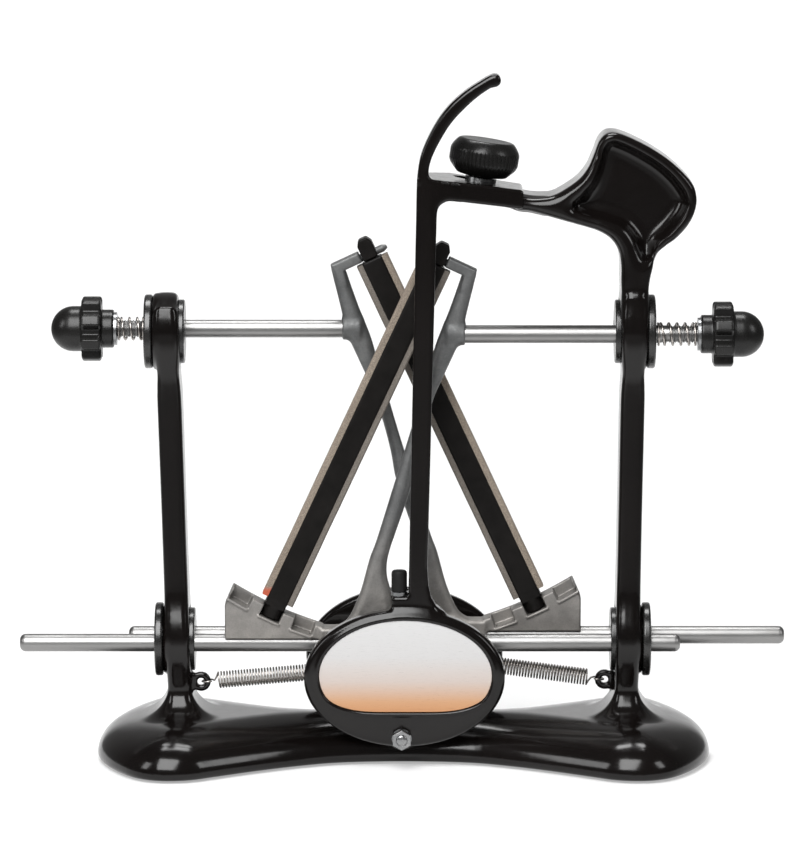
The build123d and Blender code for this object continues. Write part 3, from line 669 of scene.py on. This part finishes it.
profile = [(-5.2, 58.0), (-5.2, 77.6), (-4.4, 79.0), (1.0, 79.0), (2.2, 80.4)] + [tuple(p) for p in horn_out] + [tuple(p) for p in horn_in] \
    + [(25.6, 263.8)] + [tuple(p) for p in corner] + [(10.7, 92.0), (11.2, 84.0), (12.4, 78.5), (14.6, 74.5), (18.0, 71.5), (18.0, 58.0)]


def badge_edge(X, Z, grow=0.0):
    """Outline of the badge: the oval with a flat lower edge and large rounded corners."""
    return rounded(oval(X, Z, 38.9 + grow, 25.4 + grow, 0.9, 43.2), 26.5 - grow - Z, 8.0)


def guide_sdf(X, Y, Z):
    plate = rounded(oval(X, Z, OA, OB), np.abs(Y + 26.95) - 4.45, 2.6)
    front = ((X - 12.0) * 14.0 - (Y + 30.0) * 41.2) / math.hypot(14.0, 41.2)
    front = np.maximum(front, -30.0 - Y)
    t = (Z - arm_z(X) - 3.2) * NZ
    col = rounded(rounded(poly(X, Z, profile), np.where(t > -0.6, -30.0 - Y, front), 1.5), Y + 20.0, 1.2)
    left = np.maximum(5.9 - X, ((9.0 - X) * 18.0 + (Y + 2.0) * 3.3) / 18.3)
    left = np.maximum(left, ((20.0 - X) * 15.0 + (Y - 13.0) * 11.0) / 18.6)
    plan = np.maximum(np.maximum(front, Y - 13.0), np.maximum(left, X - 53.2))
    arm = np.maximum(rounded(plan, t, 1.1), rounded(plan, -t - 3.1, 0.3))
    skirt_plan = np.maximum(np.maximum(front, Y + 9.4), np.maximum(8.0 - X, X - 53.2))
    skirt = np.maximum(rounded(skirt_plan, t, 1.1), rounded(skirt_plan, -t - 8.4, 1.4))
    top = np.minimum(arm, skirt)
    d = np.minimum(col, top)
    d = np.maximum(d, -np.maximum(np.maximum(-t - 10, t + 3.14), np.maximum(-9.35 - Y, np.maximum(14.9 - X, X - 70))))
    # slot for the clamp stud
    along_s = X - CLX
    px = np.clip(along_s, -7.0, 0.0)
    slot = np.hypot(along_s - px, Y - CLY) - 4.6
    d = np.maximum(d, -np.maximum(slot, np.abs(t) - 6))
    d = np.where(Z < 140, smin(d, plate, 3.0), d)
    # rolled lip round the badge, then the badge's own seat
    lip = np.sqrt(np.maximum(np.abs(badge_edge(X, Z, 1.0)), 0) ** 2 + (Y + 31.05) ** 2) - 0.9
    d = smin(d, lip, 0.8)
    seat = np.maximum(badge_edge(X, Z), Y + 30.4)
    d = smax(d, -seat, 0.35)
    pad = rounded(np.hypot(X + 0.8, Z - 15.0) - 7.0, np.abs(Y + 20) - 5.5, 0.8)
    d = smin(d, np.maximum(pad, Y + 17.9), 1.0)
    d = np.maximum(d, -np.maximum(np.hypot(X + 0.8, Z - 15.0) - 2.7, np.abs(Y + 20) - 30))
    return d


guide = sdf_mesh("blade_guide_body", guide_sdf, (-45.5, -33, 10), (54, 14, 315), 0.75)
put(guide, M["enamel"], "frame", ["blade_guide"])


def cover_sdf(X, Y, Z):
    d = rounded(oval(X, Z, OA, OB), np.abs(Y - 25.75) - 3.25, 2.2)
    d = smax(d, -rounded(oval(X, Z, OA - 4, OB - 4), 28.2 - Y, 0.5), 0.8)
    d = smin(d, rounded(np.hypot(X + 0.8, Z - 15.0) - 6.4, np.abs(Y - 26) - 3.0, 0.8), 2.0)
    pad = rounded(np.hypot(X + 0.8, Z - 15.0) - 7.0, np.abs(Y - 21) - 3.2, 0.6)
    d = smin(d, pad, 1.0)
    return np.maximum(d, -np.maximum(np.hypot(X + 0.8, Z - 15.0) - 2.7, np.abs(Y - 20) - 30))


cover = sdf_mesh("rear_cover_body", cover_sdf, (-45.5, 17, 10), (46, 30, 74), 1.0)
put(cover, M["enamel"], "frame", ["rear_cover"])

# badge: thin satin foil plate with a softly rounded edge
clean = []
for k in range(120):
    a = 2 * math.pi * k / 120
    r_in, r_out = 2.0, 60.0
    for _ in range(30):
        r = (r_in + r_out) / 2
        if badge_edge(np.array(0.9 + r * math.cos(a)), np.array(43.2 + r * math.sin(a))) < -0.25:
            r_in = r
        else:
            r_out = r
    clean.append((0.9 + r_in * math.cos(a), 43.2 + r_in * math.sin(a)))
badge = bevelled("badge_plate_face", clean, -31.2, -30.45, 0.2, 2)
put(badge, M["badge"], "frame", ["badge_plate"])

# ------------------------------------------------------------------ arm castings
bow = [(32.4, 223.2), (31.6, 218.0), (29.6, 209.9), (27.9, 202.7), (26.6, 196.6), (25.0, 191.4), (23.2, 187.2), (20.8, 182.0), (16.3, 172.1), (13.6, 165.8),
       (9.3, 152.5), (5.8, 139.0), (3.1, 124.7), (-3.6, 104.5), (-5.8, 98.0), (-7.4, 91.2), (-7.4, 84.6), (-5.8, 77.8), (-5.0, 68.0), (-5.0, 58.0), (-28.5, 58.0), (-23.7, 67.1),
       (-19.3, 77.7), (-15.3, 92.3), (-12.1, 101.0), (-5.8, 121.4), (2.8, 149.4), (9.0, 171.0), (12.6, 183.6), (14.5, 190.1), (17.2, 197.3), (19.8, 203.6), (22.1, 209.9),
       (24.3, 216.2), (26.2, 221.6), (28.4, 224.6)]
bow = catmull(bow, 4)


def bar_sw(X, Z):
    fx, fz = PX - FLOOR_R * SN, PZ - FLOOR_R * CS
    return (X - fx) * CS - (Z - fz) * SN, (X - fx) * SN + (Z - fz) * CS


def arm_sdf(X, Y, Z):
    yy = Y - YA
    b2 = poly(X, Z, bow)
    d = rounded(b2, np.abs(yy) - 4.0, 3.4)
    s, w = bar_sw(X, Z)
    br = poly(s, w, [(4.3, FLOOR_R - 1.7), (13.3, FLOOR_R - 1.7), (14.8, FLOOR_R - 9.0), (17.4, FLOOR_R - 7.5), (17.9, FLOOR_R + 3.1), (4.3, FLOOR_R + 3.1)])
    d = smin(d, rounded(br, np.abs(yy) - 4.0, 0.9), 0.5)
    pin_t = np.hypot(yy, w - FLOOR_R)
    pin = np.maximum(pin_t - 1.7 + 0.9 * np.clip((-s - 6.6) / 2.0, 0, 1), np.maximum(s - 6, -8.6 - s))
    d = smin(d, pin, 0.6)
    boss = rounded(np.hypot(yy, Z - Z_UP) - 4.95, np.abs(X - 23.4) - 4.1, 0.8)
    d = smin(d, boss, 2.2)
    rail = rounded(rounded(np.abs(X + 21.3) - 16.6, np.abs(Z - Z_LOW) - 7.5, 1.5), np.abs(yy) - 6.0, 1.4)
    d = smin(d, rail, 4.0)
    tab = rounded(rounded(np.abs(X + 31.5) - 4.0, np.abs(Z - 43.0) - 6.0, 2.5), np.abs(yy) - 1.7, 0.7)
    d = smin(d, tab, 1.5)
    # quadrant: block with three open pockets in front of a low wall
    rho = np.hypot(X - PX, Z - PZ)
    th = np.degrees(np.arctan2(PX - X, PZ - Z))
    q2 = np.maximum(np.maximum(TOOTH_R - rho, 56.5 - Z), np.maximum(-80.4 - X, X + 36.5))
    cut = ((-76.5 - X) * 0.92 + (Z - 80.9) * 0.40)
    q2 = np.maximum(q2, cut)
    block = rounded(q2, np.abs(yy - 1.0) - 6.0, 0.8)
    for tdeg in (20.0, 25.0, 30.0):
        a = math.radians(tdeg)
        fx, fz = PX - FLOOR_R * math.sin(a), PZ - FLOOR_R * math.cos(a)
        ps, pw = (X - fx) * math.cos(a) - (Z - fz) * math.sin(a), (X - fx) * math.sin(a) + (Z - fz) * math.cos(a)
        pocket = np.maximum(np.maximum(np.abs(ps) - POCKET_W / 2, -pw), yy - 4.2)
        block = smax(block, -pocket, 0.5)
    back = rounded(np.maximum(np.maximum(TOOTH_R + 1.2 - rho, 53.2 - Z), np.maximum(-80.2 - X, X + 36.5)), np.abs(yy - 5.8) - 1.2, 0.4)
    back = np.maximum(back, cut + 0.6)
    d = smin(d, np.minimum(block, back), 1.2)
    # proud bead along the front edge of each pocket floor and up its lower corner
    for tdeg in (20.0, 25.0, 30.0):
        a = math.radians(tdeg)
        fx, fz = PX - FLOOR_R * math.sin(a), PZ - FLOOR_R * math.cos(a)
        ps, pw = (X - fx) * math.cos(a) - (Z - fz) * math.sin(a), (X - fx) * math.sin(a) + (Z - fz) * math.cos(a)
        bead = np.sqrt((np.maximum(np.abs(ps) - 4.9, 0)) ** 2 + (pw + 0.62) ** 2 + (yy + 4.95) ** 2) - 0.72
        d = smin(d, bead, 0.25)
    rod = np.hypot(yy, Z - Z_LOW) - (ROD_R + 0.02)
    d = np.maximum(d, -rod)
    up = np.maximum(np.hypot(yy, Z - Z_UP) - (ROD_R + 0.02), 19.0 - X)
    d = np.maximum(d, -up)
    d = np.maximum(d, -(np.hypot(X + 31.5, Z - 41.3) - 1.75))
    return d


arm_r = sdf_mesh("right_arm_cast_body", arm_sdf, (-81, -15.4, 36), (34, -1.6, 235), 0.55)
put(arm_r, M["alloy"])
arm_l = mirrored(arm_r, "left_arm_cast_body")
put(arm_r, M["alloy"], "right_arm", ["right_arm_casting"])
put(arm_l, M["alloy"], "left_arm", ["left_arm_casting"])


# ------------------------------------------------------------------ rods, with a rolled thread where the tension knobs run
def threaded_rod(name, x0, x1, y, z, t0, t1, side, pitch=1.25):
    """Round rod from x0 to x1 along X, with a helical thread between t0 and t1."""
    n = 40
    lo, hi = min(x0, x1), max(x0, x1)
    xs = list(np.linspace(lo + 2.6, min(t0, t1) if t0 is not None else hi - 2.6, 24))
    if t0 is not None:
        xs += list(np.arange(min(t0, t1), max(t0, t1), pitch / 6))[1:]
        xs += list(np.linspace(max(t0, t1), hi - 2.6, 8 if hi - 2.6 - max(t0, t1) > 1 else 2))[0 if max(t0, t1) < hi - 2.6 else 1:]
    xs = sorted(set(round(float(v), 4) for v in xs if lo + 2.6 <= v <= hi - 2.6))
    rings = []
    for a in np.linspace(0, math.pi / 2, 9)[:-1]:
        rings.append((lo + 2.6 - 2.6 * math.cos(a), ROD_R - 2.6 + 2.6 * math.sin(a), False))
    for v in xs:
        rings.append((v, ROD_R, t0 is not None and min(t0, t1) <= v <= max(t0, t1)))
    for a in np.linspace(math.pi / 2, 0, 9)[1:]:
        rings.append((hi - 2.6 + 2.6 * math.cos(a), ROD_R - 2.6 + 2.6 * math.sin(a), False))
    verts, faces = [], []
    for x, r, thr in rings:
        for k in range(n):
            a = 2 * math.pi * k / n
            rr = r
            if thr:
                ph = (x / pitch - a / (2 * math.pi)) % 1.0
                rr = r - 0.62 * min(1.0, 1.25 * abs(2 * ph - 1))
            verts.append((x, y + rr * math.cos(a), z + rr * math.sin(a)))
    for i in range(len(rings) - 1):
        for k in range(n):
            k2 = (k + 1) % n
            faces.append((i * n + k, i * n + k2, (i + 1) * n + k2, (i + 1) * n + k))
    for i, x in ((0, lo), (len(rings) - 1, hi)):
        c = len(verts)
        verts.append((x, y, z))
        for k in range(n):
            faces.append((c, i * n + k, i * n + (k + 1) % n))
    return fix_normals(make(name, verts, faces))


for side, y, x_end, washer in (("right", YA, 151.0, 131.4), ("left", YB, -151.0, -129.0)):
    sgn = 1 if side == "right" else -1
    up = threaded_rod(side + "_upper_rod_steel", sgn * 19.0, x_end, y, Z_UP, sgn * 118.5 if sgn > 0 else -118.5, sgn * 149.0, sgn)
    put(up, M["rod"], side + "_arm", [side + "_upper_rod"])
    low = threaded_rod(side + "_lower_rod_steel", -sgn * 173.0, sgn * 124.8, y, Z_LOW, None, None, sgn)
    put(low, M["rod"], side + "_arm", [side + "_lower_rod"])


# ------------------------------------------------------------------ springs
def coil_path(p, q, r, turns, flat_ends=0.0, n=26, phase=0.0):
    p, q = np.array(p, float), np.array(q, float)
    d = q - p
    ln = np.linalg.norm(d)
    d = d / ln
    u = np.cross(d, [0, 1, 0])
    u /= np.linalg.norm(u)
    v = np.cross(d, u)
    m = int(turns * n)
    out = []
    for i in range(m + 1):
        t = i / m
        if flat_ends:
            k = flat_ends / turns
            tt = np.interp(t, [0, k, 1 - k, 1], [0, 0.035, 0.965, 1])
        else:
            tt = t
        a = 2 * math.pi * turns * t + phase
        out.append(p + d * (ln * tt) + r * (math.cos(a) * u + math.sin(a) * v))
    return np.array(out), d, u, v


def pull_spring(name, lug, eye, r=3.5, wire=0.4):
    """Extension spring: close coils, and at each end the last turn bent out into a round hook."""
    a, b = np.array(lug, float), np.array(eye, float)
    d = (b - a) / np.linalg.norm(b - a)
    p0, p1 = a + d * 8.0, b - d * 8.0
    ln = np.linalg.norm(p1 - p0)
    turns = round(ln / 1.34) + 0.5
    body, d, u, v = coil_path(p0, p1, r, turns)
    up = np.array([0.0, 1.0, 0.0])
    up = up - d * np.dot(up, d)
    up /= np.linalg.norm(up)

    def hook(centre, out, start):
        """From the coil's end to the axis, then a loop in the plane of d and up."""
        loop = [centre + 2.65 * (-out * math.cos(t) * 1.0 + up * math.sin(t)) for t in np.linspace(0.0, 2 * math.pi * 0.86, 40)]
        neck = [start, start * 0.55 + (centre - out * 3.4) * 0.45 + up * 0.2, centre - out * 3.0]
        pts = catmull(np.array(neck + [loop[0], loop[1]]), 8, closed=False)
        return list(pts[:-8]) + loop
    start = hook(a + d * 3.1, -d, body[0])
    end = hook(b - d * 3.1, d, body[-1])
    path = list(reversed(start)) + list(body[1:-1]) + end
    dense = [path[0]]
    for pt in path[1:]:
        if np.linalg.norm(pt - dense[-1]) > 0.12:
            dense.append(pt)
    return sweep(name, dense, wire, 8)


sp = pull_spring("left_return_spring_wire", (-91.4, -8.3, 36.1), (-31.5, YA, 41.3))
put(sp, M["wire"], None, ["left_return_spring"])
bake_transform(sp)
sp = pull_spring("right_return_spring_wire", (91.5, 8.3, 33.6), (31.5, YB, 41.3))
put(sp, M["wire"], None, ["right_return_spring"])
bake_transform(sp)

for side, y, face, washer, turns in (("right", YA, 112.9, 131.35, 6.0), ("left", YB, -116.2, -128.95, 4.6)):
    sgn = 1 if side == "right" else -1
    path, _, _, _ = coil_path((face + sgn * 0.75, y, Z_UP), (washer - sgn * 0.6, y, Z_UP), 4.9, turns, flat_ends=0.8)
    ob = sweep(side + "_tension_spring_wire", path, 0.5, 10)
    put(ob, M["wire"], None, [side + "_tension_spring"])
    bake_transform(ob)


# ------------------------------------------------------------------ star knobs
def knob_sdf_for(x0, sgn, y):
    def fn(X, Y, Z):
        u = (X - x0) * sgn
        yy, zz = Y - y, Z - Z_UP
        rho = np.hypot(yy, zz)
        th = np.arctan2(zz, yy)
        hub = rounded(rho - 8.6, np.abs(u - 3.1) - 3.1, 0.8)
        # eight squarish lobes with rounded valleys between them
        k = (th * 8 / (2 * math.pi)) % 1.0
        wave = np.clip(1.75 * np.cos(2 * math.pi * (k - 0.5)) + 0.30, -1, 1)
        rl = 13.1 + 1.55 * wave
        lob = rounded((rho - rl) * 0.82, np.abs(u - 9.9) - 4.45, 1.2)
        dome = np.sqrt((np.maximum(u - 18.2, 0) * 1.01) ** 2 + rho ** 2) - 10.2
        dome = np.maximum(dome, 6.0 - u)
        d = smin(smin(hub, lob, 0.8), dome, 1.0)
        bore = np.maximum(rho - 4.07, u - (155.6 - abs(x0)))
        return np.maximum(d, -bore)
    return fn


for side, y, washer in (("right", YA, 131.4), ("left", YB, -129.0)):
    sgn = 1 if side == "right" else -1
    x0 = washer + sgn * 1.35
    lo, hi = (x0, x0 + 29) if sgn > 0 else (x0 - 29, x0)
    ob = sdf_mesh(side + "_star_knob", knob_sdf_for(x0, sgn, y), (lo, y - 15.2, Z_UP - 15.2), (hi, y + 15.2, Z_UP + 15.2), 0.45)
    put(ob, M["plastic"], side + "_knob", [side + "_tension_knob_grip"])

# ------------------------------------------------------------------ clamp knob
c0 = Vector((CLX, CLY, arm_z(CLX) + 3.2))
nax = Vector((NX, 0, NZ))


def fluted(r, h, a):
    if 6.2 < h < 13.2 and r > 13.5:
        f = abs(math.sin(a * 48 / 2.0))
        return r - 0.42 * (1 - min(1.0, f * 1.7)) * min(1.0, (h - 6.2) / 1.2, (13.2 - h) / 0.7)
    return r


prof = [(0, 1.35), (5.6, 1.35), (5.95, 1.5), (6.0, 2.25), (10.4, 2.3), (11.2, 2.6), (14.3, 5.8), (14.9, 6.7), (15.3, 7.7), (15.5, 8.4), (15.5, 10), (15.5, 11.5), (15.5, 12.4), (15.48, 12.9), (15.4, 13.4), (15.1, 14.2), (14.6, 15.1),
        (14.0, 16.0), (13.3, 16.9), (12.6, 17.6), (12.1, 17.95), (11.6, 18.1), (11.0, 18.15), (10.2, 18.1), (6, 18.05), (0, 18.05)]
ck = lathe("clamp_knob_fluted", prof, c0, nax, 480, fluted)
put(ck, M["plastic"], "clamp_knob", ["clamp_knob_grip"])

# ------------------------------------------------------------------ honing bars
CORE = 15.2 / 2 - 2.8
TOP_W = FLOOR_R - 2.3


def bar_xz(s, w):
    fx, fz = PX - FLOOR_R * SN, PZ - FLOOR_R * CS
    return fx + w * SN + s * CS, fz + w * CS - s * SN


def holder_sdf(X, Y, Z):
    s, w = bar_sw(X, Z)
    yy = Y - YA
    d = rounded(rounded(np.abs(s) - CORE, np.abs(w - (8.6 + TOP_W) / 2) - (TOP_W - 8.6) / 2, 0.6), np.abs(yy) - 4.4, 0.7)
    fl = rounded(rounded(np.abs(s) - 4.8, np.abs(w - 7.6) - 2.0, 0.4), np.abs(yy) - 4.4, 0.5)
    d = smin(d, fl, 0.5)
    peg = rounded(np.hypot(s, yy) - 4.35, np.abs(w - 3.9) - 3.6, 0.6)
    d = smin(d, peg, 0.4)
    return np.maximum(d, -np.maximum(np.hypot(s, yy) - 3.0, FLOOR_R - 15.2 - w))


lo = [min(bar_xz(s, w)[0] for s in (-8, 8) for w in (0, TOP_W)), -14, min(bar_xz(s, w)[1] for s in (-8, 8) for w in (0, TOP_W))]
hi = [max(bar_xz(s, w)[0] for s in (-8, 8) for w in (0, TOP_W)), -4, max(bar_xz(s, w)[1] for s in (-8, 8) for w in (0, TOP_W))]
holder_r = sdf_mesh("right_bar_holder_body", holder_sdf, lo, hi, 0.6)


def strip_mesh(name, s0, s1):
    """Abrasive strip with eased edges and slightly uneven, hand-worn long edges."""
    rng = np.random.default_rng(7 if s0 < 0 else 11)
    w0, w1 = 9.2, TOP_W - 0.5
    n = 90
    outer = s0 if s0 < 0 else s1
    ws = np.linspace(w0, w1, n)
    rough = np.convolve(rng.normal(0, 1, n + 8), np.ones(9) / 9, "valid") * 0.10
    verts, faces = [], []
    for i, w in enumerate(ws):
        o = outer + (0.10 + abs(rough[i])) * (1 if outer < 0 else -1)
        inn = s1 if outer < 0 else s0
        c = 0.55 * (1 if outer < 0 else -1)
        sec = [(inn, -3.9), (o + c, -3.9), (o, -3.35), (o, 3.35), (o + c, 3.9), (inn, 3.9)]
        for s, yy in sec:
            x, z = bar_xz(s, w)
            verts.append((x, YA + yy, z))
    m = 6
    for i in range(n - 1):
        for k in range(m):
            faces.append((i * m + k, i * m + (k + 1) % m, (i + 1) * m + (k + 1) % m, (i + 1) * m + k))
    faces.append(tuple(range(m)))
    faces.append(tuple(range((n - 1) * m, n * m)))
    ob = fix_normals(make(name, verts, faces))
    return sharp_by_angle(ob, 30)


coarse_r = strip_mesh("right_coarse_strip_body", -15.2 / 2, -CORE)
fine_r = strip_mesh("right_fine_strip_body", CORE, 15.2 / 2)


def head_sdf(X, Y, Z):
    s, w = bar_sw(X, Z)
    yy = Y - YA
    h = w - FLOOR_R
    cap = np.maximum(np.abs(s) - 3.5, (np.abs(s) + (h - 8.0) * 0.62 - 1.9) * 0.85)
    d = rounded(rounded(cap, np.maximum(h - 8.0, -1.9 - h), 0.6), np.abs(yy) - 4.3, 0.9)
    stub = np.maximum(np.hypot(s, yy) - 2.25, np.maximum(h + 1.0, -14.0 - h))
    d = np.minimum(d, stub)
    return np.maximum(d, -(np.hypot(yy, h) - 1.78))


hl = [min(bar_xz(s, w)[0] for s in (-4, 4) for w in (FLOOR_R - 14, FLOOR_R + 8)), -13.5, min(bar_xz(s, w)[1] for s in (-4, 4) for w in (FLOOR_R - 14, FLOOR_R + 8))]
hh = [max(bar_xz(s, w)[0] for s in (-4, 4) for w in (FLOOR_R - 14, FLOOR_R + 8)), -4.5, max(bar_xz(s, w)[1] for s in (-4, 4) for w in (FLOOR_R - 14, FLOOR_R + 8))]
head_r = sdf_mesh("right_bar_head_body", head_sdf, hl, hh, 0.4)

for part, mat, body, node, slot in ((holder_r, "holder", "bar", "bar_holder", "holder_plastic"), (coarse_r, "coarse", "bar", "coarse_strip", "coarse_abrasive"),
                                    (fine_r, "fine", "bar", "fine_strip", "fine_abrasive"), (head_r, "holder", "bar_head", "bar_head", "holder_plastic")):
    left = mirrored(part, part.name.replace("right_", "left_"))
    put(part, M[mat], "right_" + body, ["right_" + node])
    put(left, M[mat], "left_" + body, ["left_" + node])

# ------------------------------------------------------------------ small steel parts
bx, bz = -0.8, 15.0


def hex_nut(name, y0, y1, af, bore):
    """Hexagon with chamfered corners on both faces and a round bore."""
    r = af / 2

    def fn(X, Y, Z):
        u, v = X - bx, Z - bz
        h = np.maximum(np.abs(u), np.maximum(np.abs(u * 0.5 + v * 0.8660254), np.abs(u * 0.5 - v * 0.8660254))) - r
        rho = np.hypot(u, v)
        yc, hh_ = (y0 + y1) / 2, abs(y1 - y0) / 2
        e = np.abs(Y - yc) - hh_
        cham = (rho - (r * 1.10)) * 0.5 + e * 0.866
        d = np.maximum(np.maximum(h, e), cham)
        if bore:
            d = np.maximum(d, -(rho - bore))
        return d
    return sdf_mesh(name, fn, (bx - 4.8, min(y0, y1), bz - 4.8), (bx + 4.8, max(y0, y1), bz + 4.8), 0.22)


nut = hex_nut("guide_nut_hex", -37.0, -33.0, 8.0, 2.45)
put(nut, M["zinc"], "frame", ["guide_nut"])
prof = [(0, -37.6), (1.9, -37.6), (2.3, -37.3)]
v = -37.3
while v < -32.2:
    prof += [(2.48, v + 0.2), (2.18, v + 0.6)]
    v += 0.8
prof += [(2.45, -32), (2.45, 30.2), (2.4, 30.25), (0, 30.25)]
shank = lathe("guide_bolt_shank", prof, (bx, 0, bz), (0, 1, 0), 32)
bhead = hex_nut("guide_bolt_head", 30.2, 33.7, 8.0, 0)
bolt = join("guide_bolt_steel", [shank, bhead])
put(bolt, M["zinc"], "frame", ["guide_bolt"])

stop = lathe("edge_stop_rubber", [(0, 80.6), (3.1, 80.6), (3.45, 80.9), (3.5, 81.4), (3.5, 88.9), (3.3, 89.7), (2.8, 90.15), (0, 90.2)], (-1.9, -25, 0), (0, 0, 1), 48)
put(stop, M["rubber"], "frame", ["edge_stop"])

# carried-over CAD nodes with the right shape: new finishes
for name, mat in (("outer_bush_upper_left", "bush"), ("outer_bush_upper_right", "bush"), ("outer_bush_lower_left", "bush"), ("outer_bush_lower_right", "bush"),
                  ("inner_bush_upper_left", "bush"), ("inner_bush_upper_right", "bush"), ("inner_bush_lower_left", "bush"), ("inner_bush_lower_right", "bush"),
                  ("rubber_feet", "rubber"), ("guide_bolt_washers", "zinc"), ("edge_stop_washer", "zinc"), ("edge_stop_screw", "zinc"), ("clamp_washer", "zinc"), ("clamp_stud", "zinc"),
                  ("right_spring_washer", "zinc"), ("left_spring_washer", "zinc"), ("right_rod_pins", "zinc"), ("left_rod_pins", "zinc")):
    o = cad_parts[name]
    o.data.materials.clear()
    o.data.materials.append(M[mat])

# ------------------------------------------------------------------ studio
me = bpy.data.meshes.new("floor")
sz = []
nseg = 24
prof = [(-3.0, 0.0), (-0.6, 0.0), (-0.235, 0.0), (0.9, 0.0)] + [(0.9 + 0.35 * math.sin(a), 0.35 - 0.35 * math.cos(a)) for a in np.linspace(0, math.pi / 2, nseg)[1:]] + [(1.25, 3.2)]
verts, faces = [], []
for y, z in prof:
    verts += [(-4, y, z), (4, y, z)]
for i in range(len(prof) - 1):
    faces.append((2 * i, 2 * i + 1, 2 * i + 3, 2 * i + 2))
me.from_pydata(verts, [], faces)
me.polygons.foreach_set("use_smooth", [True] * len(me.polygons))
floor = bpy.data.objects.new("floor", me)
bpy.context.scene.collection.objects.link(floor)
fm, fnt, fb, fco = new_mat("white_sweep")
# painted light: the sweep is painted white where the object stands and painted falling off to grey around it and
# towards the front, a painted pool of soft light that also glows by emission
fsep = fnt.nodes.new("ShaderNodeSeparateXYZ")
fnt.links.new(fco, fsep.inputs["Vector"])
fabs = fnt.nodes.new("ShaderNodeMath")
fabs.operation = "ABSOLUTE"
fnt.links.new(fsep.outputs["X"], fabs.inputs[0])
painted_light_pool = remap(fnt, fabs.outputs[0], 1.0, 0.0, 0.36, 0.62)
# painted falloff of the pool of light towards the front and up the sweep
for painted_light_fade in (remap(fnt, fsep.outputs["Y"], 0.0, 1.0, -0.46, -0.235), remap(fnt, fsep.outputs["Z"], 1.0, 0.0, 0.36, 0.58)):
    mul = fnt.nodes.new("ShaderNodeMath")
    mul.operation = "MULTIPLY"
    fnt.links.new(painted_light_pool, mul.inputs[0])
    fnt.links.new(painted_light_fade, mul.inputs[1])
    painted_light_pool = mul.outputs[0]
fn_ = noise(fnt, fco, 3.0, 3)
fmix = fnt.nodes.new("ShaderNodeMix")
fmix.data_type = "RGBA"
fnt.links.new(painted_light_pool, fmix.inputs["Factor"])
fmix.inputs["A"].default_value = (0.17, 0.17, 0.17, 1)
fnt.links.new(ramp(fnt, fn_, [(0.3, (0.55, 0.55, 0.55)), (0.7, (0.57, 0.57, 0.57))]), fmix.inputs["B"])
fnt.links.new(fmix.outputs["Result"], fb.inputs["Base Color"])
fb.inputs["Roughness"].default_value = 0.9
fb.inputs["Specular IOR Level"].default_value = 0.1
fb.inputs["Emission Color"].default_value = (1, 1, 1, 1)
# painted glow: emission only inside the painted pool of light
fnt.links.new(remap(fnt, painted_light_pool, 0.05, 0.40, 0.0, 1.0), fb.inputs["Emission Strength"])
me.materials.append(fm)

world = bpy.data.worlds.new("studio")
bpy.context.scene.world = world
world.use_nodes = True
bg = world.node_tree.nodes["Background"]
bg.inputs["Color"].default_value = (1, 1, 1, 1)
bg.inputs["Strength"].default_value = 0.10


def area(name, loc, target, size, power, size_y=None):
    li = bpy.data.lights.new(name, "AREA")
    li.energy = power
    li.size = size
    if size_y:
        li.shape = "RECTANGLE"
        li.size_y = size_y
    ob = bpy.data.objects.new(name, li)
    ob.location = loc
    ob.rotation_euler = (Vector(target) - Vector(loc)).to_track_quat("-Z", "Y").to_euler()
    bpy.context.scene.collection.objects.link(ob)
    return ob


area("key_soft", (-0.30, -1.18, 1.25), (0, 0, 0.12), 0.95, 40, 1.35)
area("side_left", (-1.25, -0.55, 0.75), (0, 0, 0.12), 0.35, 4, 0.6)
area("side_right", (1.25, -0.55, 0.85), (0, 0, 0.12), 0.35, 4, 0.6)
area("top_box", (0.0, 0.45, 1.7), (0, 0.2, 0.0), 0.9, 16, 0.5)

cam_data = bpy.data.cameras.new("camera")
cam = bpy.data.objects.new("camera", cam_data)
cam.location = (0.0, -2.2, 0.498598)
cam.rotation_euler = (math.radians(90 - 9.029), 0, 0)
cam_data.sensor_width = 36
cam_data.sensor_fit = "AUTO"
cam_data.lens = 4950.23 * 36 / 863
cam_data.shift_x = -3.5 / 863
cam_data.clip_end = 50
bpy.context.scene.collection.objects.link(cam)
bpy.context.scene.camera = cam
bpy.context.scene.view_settings.view_transform = "Standard"
